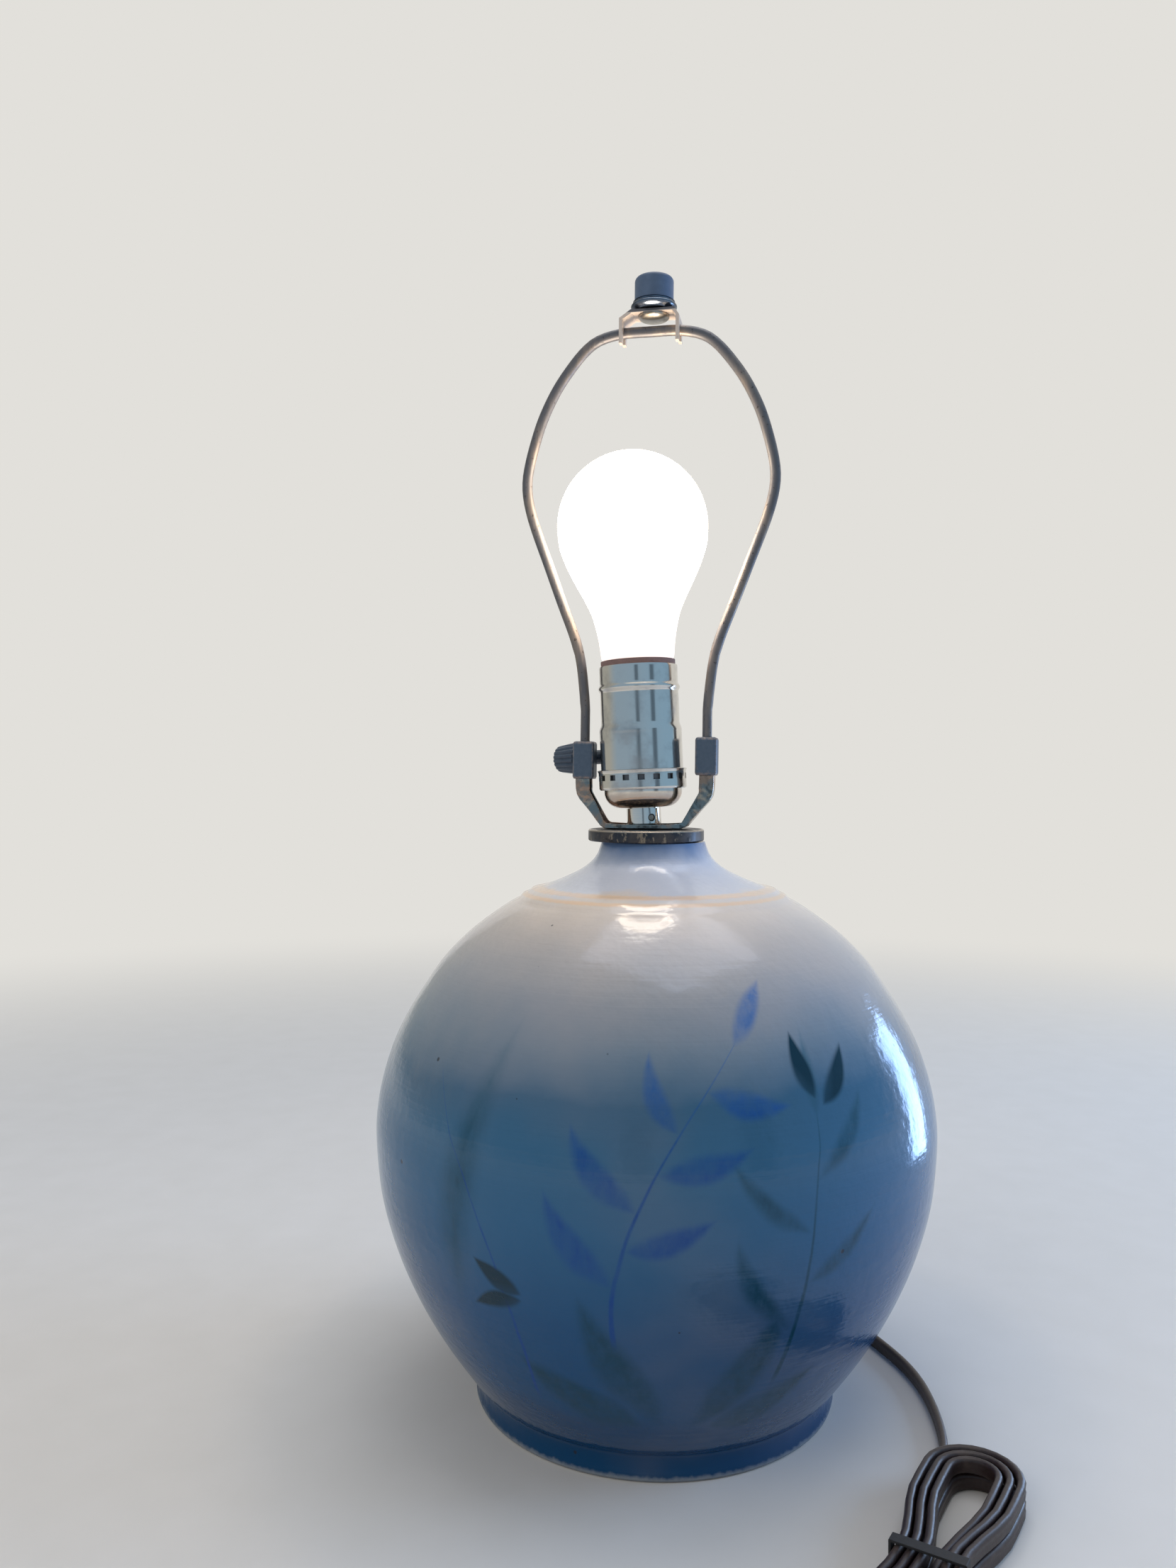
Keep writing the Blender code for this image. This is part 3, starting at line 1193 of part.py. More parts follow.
def trimmed(line, start=0.0, end=0.0):
    """The line without a short length at either end, which leaves a joint its gap."""
    line = [Vector(p) for p in line]
    if start:
        line[0] = line[0] + (line[1] - line[0]).normalized() * start
    if end:
        line[-1] = line[-1] + (line[-2] - line[-1]).normalized() * end
    return line


def make_cord(brown, black, outer):
    """The free cord: the stretch beside the pot, the tied hank and the tail to the plug."""
    half = (CORD_WIDTH - CORD_THICKNESS) / 2
    hank = hank_line()
    last = hank_place(-hank_radius(0), HANK_RUN / 2 + LEAD_LAST_REACH, CORD_REST)
    first = [exit_point(outer)] + LEAD_ROUTE + [last, hank[0]]
    lead = smooth_line(first, LEAD_POINTS)
    last_run = [hank[-2], hank[-1]]
    tail_points = last_run[1:] + [hank_place(*p) for p in TAIL_ROUTE]
    plug_start = hank_place(*PLUG_PLACE, PLUG_THICKNESS / 2)
    tail = smooth_line(tail_points + [plug_start], TAIL_POINTS)
    radius = CORD_THICKNESS / 2
    tube("cord_lead", trimmed(lead, GAP, GAP / 2), radius, brown, edge_on=half)
    tube("cord_hank", trimmed(hank, GAP / 2, GAP / 2), radius, brown, edge_on=half)
    tube("cord_tail", trimmed(tail, GAP / 2, GAP), radius, brown, edge_on=half)
    total = line_length(lead) + line_length(hank) + line_length(tail)
    print(f"free cord {total:.3f} m, hank {line_length(hank):.3f} m in {len(hank)} points")
    print(f"least gap in the hank {least_gap(hank) * 1000:.2f} mm")
    make_tie(black)
    make_plug(black)


def make_tie(black):
    """A flat band round the hank's waist."""
    half = hank_radius(0) - WAIST_DRAW + CORD_THICKNESS / 2 + GAP * 2
    low = CORD_REST + TIE_LIFT - CORD_WIDTH / 2 - GAP
    high = CORD_REST + TIE_LIFT + HANK_LAYER + CORD_WIDTH / 2 + GAP * 2
    sheet = TIE_THICKNESS
    centre = Matrix.Translation(hank_place(0, 0, 0))
    axis = axis_empty("tie_axis", centre @ Matrix.Rotation(HANK_HEADING, 4, "Z"))
    size = (TIE_WIDTH, 2 * (half + sheet), high - low + 2 * sheet)
    mesh = box_mesh(size, (0, 0, (low + high) / 2))
    band = solid("cord_tie", mesh, black, axis)
    hole = box_mesh((TIE_WIDTH + 2 * OVERRUN, 2 * half, high - low), (0, 0, (low + high) / 2))
    cut(band, "tie_hole", hole, axis)


def make_plug(black):
    """A moulded two-blade plug that lies on its side beside the hank."""
    place = (
        Matrix.Translation(hank_place(*PLUG_PLACE, PLUG_THICKNESS / 2))
        @ Matrix.Rotation(HANK_HEADING, 4, "Z")
    )
    axis = axis_empty("plug_axis", place)
    rings = []
    for along, wide in PLUG_SHARES:
        half_width = between(PLUG_NECK_WIDTH, PLUG_WIDTH, wide) / 2
        half_height = between(PLUG_NECK_THICKNESS, PLUG_THICKNESS, wide) / 2 - GAP / 2
        ring = []
        for i in range(20):
            angle = math.tau * (i + 0.5) / 20
            c, s = math.cos(angle), math.sin(angle)
            across = math.copysign(abs(c) ** 0.45, c) * half_width
            up = math.copysign(abs(s) ** 0.45, s) * half_height
            ring.append((PLUG_LENGTH * along, across, up))
        rings.append(ring)
    body = solid("plug_body", lofted_mesh(rings), black, axis)
    for sign, side in ((1, "left"), (-1, "right")):
        y = sign * BLADE_SPACING / 2
        length = BLADE_LENGTH + BLADE_ROOT
        middle = PLUG_LENGTH - BLADE_ROOT + length / 2
        mesh = box_mesh((length, BLADE_THICKNESS, BLADE_WIDTH), (middle, y, 0))
        blade = solid(f"plug_blade_{side}", mesh, bpy.data.materials["pipe steel"], axis)
        depth = BLADE_ROOT + OVERRUN + GAP
        pocket = (depth, BLADE_THICKNESS + 2 * GAP, BLADE_WIDTH + 2 * GAP)
        cut(body, f"blade_pocket_{side}", box_mesh(pocket, (PLUG_LENGTH + OVERRUN - depth / 2, y, 0)), axis)
        x = PLUG_LENGTH + BLADE_LENGTH - BLADE_HOLE_FROM_TIP
        reach = BLADE_THICKNESS + OVERRUN
        hole = cylinder_mesh(BLADE_HOLE, (x, y - reach, 0), (x, y + reach, 0), steps=12)
        cut(blade, f"blade_hole_{side}", hole, axis)


def make_lamp():
    clear_scene()
    glaze = finish("blue-grey glaze", (0.46, 0.53, 0.60), 0.18)
    old_brass = finish("tarnished brass", (0.26, 0.21, 0.15), 0.45, 1.0)
    nickel = finish("bright nickel", (0.72, 0.71, 0.68), 0.18, 1.0)
    dull_nickel = finish("dull nickel", (0.42, 0.39, 0.35), 0.38, 1.0)
    steel = finish("pipe steel", (0.55, 0.52, 0.45), 0.40, 1.0)
    iron = finish("dark harp wire", (0.16, 0.14, 0.13), 0.42, 1.0)
    sleeve_grey = finish("gunmetal sleeve", (0.09, 0.095, 0.11), 0.45, 0.6)
    slate = finish("slate finial", (0.035, 0.045, 0.06), 0.55)
    skirt_metal = finish("finial skirt", (0.20, 0.18, 0.16), 0.35, 1.0)
    cardboard = finish("fibre liner", (0.48, 0.33, 0.30), 0.85)
    phenolic = finish("moulded interior", (0.05, 0.04, 0.035), 0.5)
    brass = finish("contact brass", (0.72, 0.53, 0.25), 0.30, 1.0)
    tin = finish("tinned screw", (0.70, 0.69, 0.66), 0.30, 1.0)
    black = finish("black plastic", (0.02, 0.022, 0.026), 0.40)
    rubber = finish("black rubber", (0.025, 0.024, 0.024), 0.7)
    brown = finish("dark brown cord", (0.035, 0.024, 0.02), 0.42)
    frosted = finish("frosted glass", (0.95, 0.93, 0.90), 0.45)
    glass = finish("clear glass", (0.85, 0.88, 0.88), 0.10)
    aluminium = finish("bulb base", (0.78, 0.77, 0.74), 0.30, 1.0)
    black_glass = finish("base insulator", (0.02, 0.02, 0.03), 0.15)
    tungsten = finish("filament", (0.30, 0.28, 0.26), 0.40, 1.0)

    harp_frame = axis_empty(
        "harp_frame",
        Matrix.Translation((PIPE_SHIFT, 0, SADDLE_BOTTOM + SADDLE_THICKNESS / 2)) @ Matrix.Rotation(HARP_LEAN, 4, "Y"),
    )
    socket_frame = axis_empty(
        "socket_frame",
        Matrix.Translation((PIPE_SHIFT, 0, HUB_FOOT)) @ Matrix.Rotation(-SOCKET_LEAN, 4, "Y"),
    )
    bulb_axis = axis_empty("bulb_axis", UPRIGHT, socket_frame)

    make_pot(glaze)
    make_neck_disc(old_brass)
    make_pipe(steel, rubber)
    make_saddle(dull_nickel, harp_frame)
    make_harp(iron, harp_frame)
    make_sleeve("left", sleeve_grey, harp_frame)
    make_sleeve("right", sleeve_grey, harp_frame)
    make_bracket(dull_nickel, steel, slate, skirt_metal, harp_frame)
    make_socket_cap(nickel, steel, socket_frame)
    make_shell(nickel, cardboard, socket_frame)
    make_interior(phenolic, brass, tin, socket_frame)
    make_switch(black, socket_frame)
    make_bulb(frosted, glass, aluminium, black_glass, tungsten, bulb_axis)
    outer = make_grommet(rubber)
    make_inner_lead(rubber, outer)
    make_cord(brown, black, outer)
    bpy.context.view_layer.update()


make_lamp()
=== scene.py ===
# %% [markdown]
# # A ceramic table lamp, piece by piece
# The lamp is a thrown and painted pot with a brass cap, a leaning nickel socket, a frosted bulb, a wire
# harp and a flat two-core cord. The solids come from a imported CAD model, and this lesson dresses them:
# pieces that the eye lands on are modelled again with more care, and every surface gets its own finish.
# All lengths are in metres, and the shapes use the same places as the CAD model.

# %% The frame
import math

import bmesh
import bpy
import numpy as np
from mathutils import Matrix, Vector


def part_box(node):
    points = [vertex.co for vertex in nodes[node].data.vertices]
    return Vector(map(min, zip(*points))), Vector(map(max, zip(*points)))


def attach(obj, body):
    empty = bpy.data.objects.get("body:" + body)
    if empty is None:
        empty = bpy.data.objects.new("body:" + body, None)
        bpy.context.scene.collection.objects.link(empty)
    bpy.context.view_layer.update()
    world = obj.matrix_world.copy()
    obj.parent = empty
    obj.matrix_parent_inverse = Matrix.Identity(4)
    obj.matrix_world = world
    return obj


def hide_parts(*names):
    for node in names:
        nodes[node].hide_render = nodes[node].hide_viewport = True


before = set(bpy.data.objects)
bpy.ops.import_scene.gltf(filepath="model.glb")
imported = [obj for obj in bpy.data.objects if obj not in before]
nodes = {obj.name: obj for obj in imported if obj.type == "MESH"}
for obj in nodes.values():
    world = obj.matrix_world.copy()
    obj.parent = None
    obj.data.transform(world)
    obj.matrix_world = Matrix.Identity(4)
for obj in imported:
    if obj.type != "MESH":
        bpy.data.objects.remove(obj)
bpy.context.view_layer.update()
MM = 0.001
GAP = 0.0003
MERGE = MM / 100

# %% [markdown]
# ## The camera
# The picture was taken with a level camera a little to the right of the lamp, and its horizon lies just
# above the middle of the picture. A level camera keeps upright lines upright, so the small difference is
# made with a shift and not with a tilt.

# %% Camera
PHOTO_HEIGHT_PX = 2212
HORIZON_PX = 1095
FOCAL_PX = 1661
CAMERA_PLACE = (0.0721, -0.4642, 0.240)
CAMERA_TURN = math.radians(12)
SENSOR_MM = 36

bpy.ops.object.camera_add(location=CAMERA_PLACE, rotation=(math.pi / 2, 0, CAMERA_TURN))
camera = bpy.context.object
camera.name = "photo_camera"
camera.data.sensor_width = SENSOR_MM
camera.data.lens = SENSOR_MM * FOCAL_PX / PHOTO_HEIGHT_PX
camera.data.shift_y = (HORIZON_PX - PHOTO_HEIGHT_PX / 2) / PHOTO_HEIGHT_PX
camera.data.clip_start = 10 * MM
bpy.context.scene.camera = camera
print(f"lens {camera.data.lens:.2f} mm, shift {camera.data.shift_y:.4f}")

# %% [markdown]
# ## Shader sums as Python sums
# A finish is mostly arithmetic on places: how high, how far round, how noisy. The class below wraps one
# shader socket, and its operators add the Math nodes, so that a mask reads like a formula.


# %% A wire that does sums
class Wire:
    """One output socket of a material. Sums on wires add Math nodes."""

    def __init__(self, tree, socket=None):
        self.tree = tree
        self.socket = socket

    def node(self, kind, settings=None, sockets=None, output=0):
        """Adds any node: its settings first, then the values or wires of its sockets."""
        made = self.tree.nodes.new("ShaderNode" + kind)
        for name, value in (settings or {}).items():
            if name == "stops":
                ramp = made.color_ramp.elements
                while len(ramp) < len(value):
                    ramp.new(0.5)
                for stop, (place, colour) in zip(ramp, value):
                    stop.position = place
                    stop.color = colour
            else:
                setattr(made, name, value)
        for name, value in (sockets or {}).items():
            self.plug(value, made.inputs[name])
        return Wire(self.tree, made.outputs[output])

    def plug(self, value, entry):
        """Joins a wire to a socket, or gives the socket a plain value."""
        if isinstance(value, Wire):
            self.tree.links.new(value.socket, entry)
        else:
            entry.default_value = value

    def math(self, operation, *values):
        return self.node("Math", {"operation": operation}, dict(enumerate(values)))

    def __abs__(self):
        return self.math("ABSOLUTE", self)


def teach(word, operation):
    """Gives wires one Python operator, with the wire on its left or on its right."""
    setattr(Wire, f"__{word}__", lambda left, right: left.math(operation, left, right))
    setattr(Wire, f"__r{word}__", lambda right, left: right.math(operation, left, right))


SUMS = {"add": "ADD", "sub": "SUBTRACT", "mul": "MULTIPLY", "truediv": "DIVIDE", "pow": "POWER"}
for word, operation in SUMS.items():
    teach(word, operation)


# %% Words that the finishes share
def srgb(red, green, blue):
    """A colour as a picture shows it, from 0 to 255, turned into light."""
    shares = [value / 255 for value in (red, green, blue)]
    return [s / 12.92 if s <= 0.04045 else ((s + 0.055) / 1.055) ** 2.4 for s in shares] + [1.0]


def axes(place):
    return [place.node("SeparateXYZ", {}, {0: place}, output=k) for k in range(3)]


def smooth(value, low, high):
    """0 below low, 1 above high, and an S between them."""
    settings = {"interpolation_type": "SMOOTHSTEP"}
    return value.node("MapRange", settings, {0: value, 1: low, 2: high, 3: 0.0, 4: 1.0})


def noise(place, scale, detail=3.0, roughness=0.5, stretch=None):
    """Cloudy noise. The scale is in clouds a metre, and stretch squeezes the pattern along an axis."""
    if stretch:
        place = place.node("Mapping", {}, {0: place, 3: stretch})
    sockets = {"Vector": place, "Scale": scale, "Detail": detail, "Roughness": roughness}
    return place.node("TexNoise", {}, sockets)


def patches(place, low, high, *kind):
    """Cloudy patches: noise of a kind, 0 below low and 1 above high."""
    return smooth(noise(place, *kind), low, high)


def local_axes(place, centre, lean):
    """The three places along the axes of a leaning piece."""
    return axes(place.node("Mapping", {"vector_type": "TEXTURE"}, {0: place, 1: centre, 2: (0, lean, 0)}))


def mixed(share, low, high):
    """A colour between two. Each is a wire, light, or the (red, green, blue) of a picture."""
    low, high = [srgb(*end) if isinstance(end, tuple) else end for end in (low, high)]
    return share.node("Mix", {"data_type": "RGBA"}, {0: share, 6: low, 7: high}, output=2)


def layered(colour, *layers):
    """Lays tones over a colour, each on the share that it covers."""
    for share, tone in layers:
        colour = mixed(share, colour, tone)
    return colour


def larger(first, second):
    return first.math("MAXIMUM", first, second)


def bump(height, distance, strength=1.0):
    return height.node("Bump", {}, {"Strength": strength, "Distance": distance, "Height": height})


def looks(colour, roughness, relief, metallic=0.0):
    return {"Base Color": colour, "Roughness": roughness, "Normal": relief, "Metallic": metallic}


FINISHES = {}


def finish(make, name=None):
    """Makes a material of the function's own name from the Principled sockets that it returns.

    The CAD model has materials too, some of the same name, so the finishes have a table of their own.
    """
    made = bpy.data.materials.new(name or make.__name__)
    FINISHES[name or make.__name__] = made
    made.use_nodes = True
    wire = Wire(made.node_tree)
    for socket, value in make(wire.node("TexCoord", output="Object")).items():
        wire.plug(value, made.node_tree.nodes["Principled BSDF"].inputs[socket])
    print(f"finish {made.name}: {len(made.node_tree.nodes)} nodes")
    return make


# %% [markdown]
# ## Drawing and turning a shape
# Most of the lamp is turned, on a wheel or a lathe. The same is done here: one vertex is extruded along
# half of the section, like a potter's template, and the line is spun round Z. A piece that leans is turned
# upright first and leaned afterwards, and its place then goes into its mesh.


# %% Tools for shapes
def mode(name):
    bpy.ops.object.mode_set(mode=name)


def only(piece):
    bpy.ops.object.select_all(action="DESELECT")
    piece.select_set(True)
    bpy.context.view_layer.objects.active = piece


def soften(angle=40):
    """Smooth shading that leaves the edges above an angle sharp."""
    bpy.ops.object.shade_smooth_by_angle(angle=math.radians(angle))


def seal():
    """Merges double points, turns all faces outwards and leaves edit mode."""
    bpy.ops.mesh.select_all(action="SELECT")
    bpy.ops.mesh.remove_doubles(threshold=MERGE)
    bpy.ops.mesh.normals_make_consistent(inside=False)
    mode("OBJECT")


def settle(piece, place):
    """Puts a piece where it belongs and writes the place into its mesh."""
    only(piece)
    piece.matrix_world = place
    bpy.ops.object.transform_apply(location=True, rotation=True, scale=True)
    return piece


def turned(name, outline, steps, place=None, crease=40):
    """A solid of revolution from (radius, height) points, smooth below the crease angle."""
    start = Vector((outline[0][0], 0, outline[0][1]))
    bpy.ops.object.select_all(action="DESELECT")
    bpy.ops.mesh.primitive_plane_add(size=MM, location=start)
    piece = bpy.context.object
    piece.name = name
    bpy.ops.object.transform_apply(location=True)
    mode("EDIT")
    bpy.ops.mesh.select_mode(type="VERT")
    bpy.ops.mesh.select_all(action="SELECT")
    bpy.ops.mesh.merge(type="CENTER")
    for radius, height in outline[1:]:
        point = Vector((radius, 0, height))
        bpy.ops.mesh.extrude_vertices_move(TRANSFORM_OT_translate={"value": point - start})
        start = point
    bpy.ops.mesh.select_all(action="SELECT")
    bpy.ops.mesh.spin(steps=steps, angle=math.tau, center=(0, 0, 0), axis=(0, 0, 1))
    seal()
    settle(piece, place or Matrix.Identity(4))
    soften(crease)
    return piece


def pick(piece, test, kind="verts"):
    """Enters edit mode and selects the vertices or faces whose place passes a test."""
    only(piece)
    mode("EDIT")
    bpy.ops.mesh.select_mode(type="VERT" if kind == "verts" else "FACE")
    bpy.ops.mesh.select_all(action="DESELECT")
    shape = bmesh.from_edit_mesh(piece.data)
    for part in getattr(shape, kind):
        part.select_set(test(part.co if kind == "verts" else part.calc_center_median()))
    bmesh.update_edit_mesh(piece.data)


def punch(piece, test):
    """Deletes the faces whose place passes a test."""
    pick(piece, test, "faces")
    bpy.ops.mesh.delete(type="FACE")
    mode("OBJECT")


def squeeze(piece, test, value, centre):
    """Resizes the vertices whose place passes a test, towards a centre."""
    pick(piece, test)
    bpy.ops.transform.resize(value=value, center_override=centre)
    mode("OBJECT")


def apply_modifier(piece, kind, **settings):
    only(piece)
    made = piece.modifiers.new(kind.lower(), kind)
    for name, value in settings.items():
        setattr(made, name, value)
    bpy.ops.object.modifier_apply(modifier=made.name)


def aimed(way):
    """The turn that points Z along a way."""
    return way.to_track_quat("Z", "Y").to_matrix().to_4x4()


def drill(piece, radius, start, end, steps=48):
    """Cuts a round hole through a piece, from one point to another."""
    start, end = Vector(start), Vector(end)
    bpy.ops.object.select_all(action="DESELECT")
    bpy.ops.mesh.primitive_cylinder_add(vertices=steps, radius=radius, depth=(end - start).length)
    tool = bpy.context.object
    settle(tool, Matrix.Translation((start + end) / 2) @ aimed(end - start))
    apply_modifier(piece, "BOOLEAN", operation="DIFFERENCE", object=tool)
    bpy.data.objects.remove(tool)


def paint(piece, material):
    piece.data.materials.clear()
    piece.data.materials.append(FINISHES[material])


def done(piece, body, slot, material, *replaced):
    """Gives a finished piece its material, its body and the CAD nodes that it stands for."""
    paint(piece, material)
    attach(piece, body)
    if replaced:
        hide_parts(*replaced)
    print(f"{piece.name}: {len(piece.data.polygons)} faces on {body}")


def dress(material, edge, *names):
    """Puts a finish on CAD nodes, and rounds their edges with a Bevel modifier."""
    for name in names:
        node = nodes[name]
        paint(node, material)
        if edge:
            node.modifiers.new("weld", "WELD").merge_threshold = MERGE
            bevel = node.modifiers.new("edge", "BEVEL")
            bevel.width = edge
            bevel.segments = 2
            bevel.limit_method = "ANGLE"
            bevel.angle_limit = math.radians(40)


def curve_through(points, count):
    """Points at even steps along a smooth curve through the given ones."""
    points = np.array(points, float)
    padded = np.vstack([2 * points[0] - points[1], points, 2 * points[-1] - points[-2]])
    fine = []
    for i in range(len(points) - 1):
        a, b, c, d = padded[i : i + 4]
        for t in np.linspace(0, 1, 16, endpoint=False):
            bend = (2 * a - 5 * b + 4 * c - d) * t**2 / 2
            fine.append(b + (c - a) * t / 2 + bend + (3 * b - a - 3 * c + d) * t**3 / 2)
    fine = np.array(fine + [points[-1]])
    along = np.concatenate([[0], np.cumsum(np.linalg.norm(np.diff(fine, axis=0), axis=1))])
    at = np.linspace(0, along[-1], count)
    return np.stack([np.interp(at, along, fine[:, k]) for k in range(fine.shape[1])], axis=1)


def between(low, high, share):
    return low + (high - low) * share


def ease(value):
    """0 below 0, 1 above 1 and an S between."""
    t = min(max(value, 0), 1)
    return t * t * (3 - 2 * t)


def oval(half_width, half_depth, steps):
    """A closed oval section for a tube."""
    turns = [math.tau * i / steps for i in range(steps)]
    return [(half_width * math.cos(t), half_depth * math.sin(t), 0) for t in turns]


def outward(turn):
    return Vector((math.cos(turn), math.sin(turn), 0))


def drill_out(piece, radius, turn, height, span, place=Matrix.Identity(4), steps=48):
    """Cuts a round hole outwards from an axis, at a turn and a height."""
    lift = Vector((0, 0, height))
    drill(piece, radius, *[place @ (outward(turn) * out + lift) for out in span], steps)


def thickened(line, thickness):
    """A closed section from an open line, its inner side one thickness away."""
    line = np.array(line)
    step = np.gradient(line, axis=0)
    step /= np.linalg.norm(step, axis=1)[:, None]
    inner = line + thickness * np.stack([-step[:, 1], step[:, 0]], axis=1)
    return [tuple(p) for p in line] + [tuple(p) for p in inner[::-1]]


# %% [markdown]
# ## The cord
# A table lamp has about 1.8 m of flat two-core cord. It leaves the back of the foot, comes round the pot
# standing on its edge and ends in a tied hank with the plug on it. A curve is the right tool, because a
# cord has one real length, and a curve keeps it. Its section is drawn once: two round cores with a groove
# between them. The runs of the hank are worked out by a loop, and the loose stretches follow listed points.

# %% Where the cord lies
CORD_WIDTH = 0.0055
CORD_THICKNESS = 0.0028
CORD_REST = 0.0028
EXIT_ANGLE = math.radians(75)
EXIT_HEIGHT = 0.0051
EXIT_REACH = 0.07205
LEAD_DOWN = [(0.0212, 0.0795, 0.0046), (0.0258, 0.0885, 0.0035), (0.0340, 0.0945, 0.0029)]
LEAD_FLAT = (
    ((0.0441, 0.0957), (0.0540, 0.0910), (0.0630, 0.0820), (0.0712, 0.0705), (0.0790, 0.0580))
    + ((0.0866, 0.0454), (0.0938, 0.0335), (0.0994, 0.0225), (0.1036, 0.0105), (0.1063, -0.0020))
    + ((0.1079, -0.0140), (0.1086, -0.0256), (0.1083, -0.0350), (0.1066, -0.0432))
)
LEAD_ROUTE = LEAD_DOWN + [(x, y, CORD_REST) for x, y in LEAD_FLAT]
LEAD_POINTS = 64
LEAD_LAST_REACH = 0.0058
HANK_CENTRE = (0.0980, -0.1070)
HANK_HEADING = math.radians(70)
HANK_RUN = 0.1020
HANK_INNER_RADIUS = 0.0081
HANK_PITCH = 0.0035
HANK_LAYER = 0.0061
HANK_SLOTS = (2, 2, 1, 1, 0, 0, 0, 1, 1, 2, 2)
HANK_LAYERS = ((0, 0),) * 5 + ((0, 1),) + ((1, 1),) * 5
HANK_PIECES = 12
WAIST_REACH = 0.0395
WAIST_DRAW = 0.0064
TIE_LIFT = 0.0013
TAIL_ROUTE = [(-0.0149, -0.0580, 0.0088), (-0.0144, -0.0645, 0.0084), (-0.0119, -0.0715, 0.0069)]
TAIL_ROUTE += [(-0.0070, -0.0773, 0.0050), (0.0000, -0.0812, 0.0036), (0.0075, -0.0824, 0.0031)]
TAIL_ROUTE += [(0.0150, -0.0811, 0.0031), (0.0218, -0.0773, 0.0035), (0.0268, -0.0713, 0.0042)]
TAIL_ROUTE += [(0.0293, -0.0645, 0.0050), (0.0299, -0.0575, 0.0057)]
TAIL_POINTS = 40
PLUG_PLACE = (0.0299, -0.0500)
PLUG_THICKNESS = 0.0120
RELIEF_LENGTH = 0.022
RELIEF_RIBS = 8
RELIEF_RIB_POINTS = 4
RELIEF_HALF = (0.0024, 0.0033)
RELIEF_TAPER = (1.12, 0.95)
RELIEF_GROOVE = 0.92


def hank_place(across, along, height):
    """A place in the hank's own sideways and lengthways directions."""
    forward = (math.cos(HANK_HEADING), math.sin(HANK_HEADING))
    x = HANK_CENTRE[0] + forward[1] * across + forward[0] * along
    y = HANK_CENTRE[1] - forward[0] * across + forward[1] * along
    return (x, y, height)


def waist(along):
    share = along / WAIST_REACH
    return math.cos(math.pi / 2 * share) ** 2 if abs(share) < 1 else 0


def hank_radius(run):
    return HANK_INNER_RADIUS + HANK_PITCH * HANK_SLOTS[run]


def hank_line():
    """In through the lower layer, up along an inner run, and out through the upper layer."""
    points = []
    last = len(HANK_SLOTS) - 1
    for run in range(last + 1):
        side = -1 if run % 2 == 0 else 1
        start, end = HANK_LAYERS[run]
        for i in range(HANK_PIECES + 1):
            share = i / HANK_PIECES
            along = side * HANK_RUN * (share - 0.5)
            across = side * (hank_radius(run) - WAIST_DRAW * waist(along))
            height = CORD_REST + HANK_LAYER * between(start, end, ease(share)) + TIE_LIFT * waist(along)
            points.append(hank_place(across, along, height))
        if run == last:
            break
        for i in range(1, HANK_PIECES):
            share = i / HANK_PIECES
            radius = between(hank_radius(run), hank_radius(run + 1), ease(share))
            angle = math.pi * share
            along = side * (HANK_RUN / 2 + radius * math.sin(angle))
            points.append(hank_place(side * radius * math.cos(angle), along, CORD_REST + HANK_LAYER * end))
    return points


exit_point = (EXIT_REACH * math.cos(EXIT_ANGLE), EXIT_REACH * math.sin(EXIT_ANGLE), EXIT_HEIGHT)
hank = hank_line()
hank_start = hank_place(-hank_radius(0), HANK_RUN / 2 + LEAD_LAST_REACH, CORD_REST)
lead = curve_through([exit_point] + LEAD_ROUTE + [hank_start, hank[0]], LEAD_POINTS)
plug_start = hank_place(*PLUG_PLACE, PLUG_THICKNESS / 2)
tail = curve_through([hank[-1]] + [hank_place(*p) for p in TAIL_ROUTE] + [plug_start], TAIL_POINTS)
cord_points = [tuple(p) for p in lead[:-1]] + hank + [tuple(p) for p in tail[1:]]
print(f"the cord follows {len(cord_points)} points")


# %% Its section and its tube
def line_object(name, points, cyclic=False, flat=False):
    curve = bpy.data.curves.new(name, "CURVE")
    curve.dimensions = "2D" if flat else "3D"
    spline = curve.splines.new("POLY")
    spline.points.add(len(points) - 1)
    for point, place in zip(spline.points, points):
        point.co = (*place, 1)
    spline.use_cyclic_u = cyclic
    made = bpy.data.objects.new(name, curve)
    bpy.context.scene.collection.objects.link(made)
    return made


def two_core_section(width, thickness, steps=7):
    """Two round cores side by side, with a groove on both sides where they meet."""
    radius = thickness / 2
    reach = width / 2 - radius
    open_angle = math.radians(52)
    points = []
    for sign, first in ((1, 0), (-1, math.pi)):
        for i in range(steps):
            angle = first + between(open_angle - math.pi / 2, 1.5 * math.pi - open_angle, i / (steps - 1))
            points.append((radius * math.cos(angle), sign * reach + radius * math.sin(angle), 0))
    return points


def tube_along(name, points, section, radii=None, twist="Z_UP"):
    """A tube with a drawn section along a line."""
    profile = line_object(name + "_section", section, cyclic=True, flat=True)
    made = line_object(name, points)
    made.data.twist_mode = twist
    made.data.bevel_mode = "OBJECT"
    made.data.bevel_object = profile
    made.data.use_fill_caps = True
    for point, radius in zip(made.data.splines[0].points, radii or []):
        point.radius = radius
    only(made)
    bpy.ops.object.convert(target="MESH")
    made = bpy.context.object
    bpy.data.objects.remove(profile)
    mode("EDIT")
    seal()
    soften(50)
    return made


def relief_line():
    """The cord's own last stretch, walked back from the plug in even steps."""
    back = tail[::-1]
    along = np.concatenate([[0], np.cumsum(np.linalg.norm(np.diff(back, axis=0), axis=1))])
    steps = np.linspace(MM / 3, RELIEF_LENGTH, RELIEF_RIBS * RELIEF_RIB_POINTS + 1)
    return [tuple(float(np.interp(step, along, back[:, k])) for k in range(3)) for step in steps]


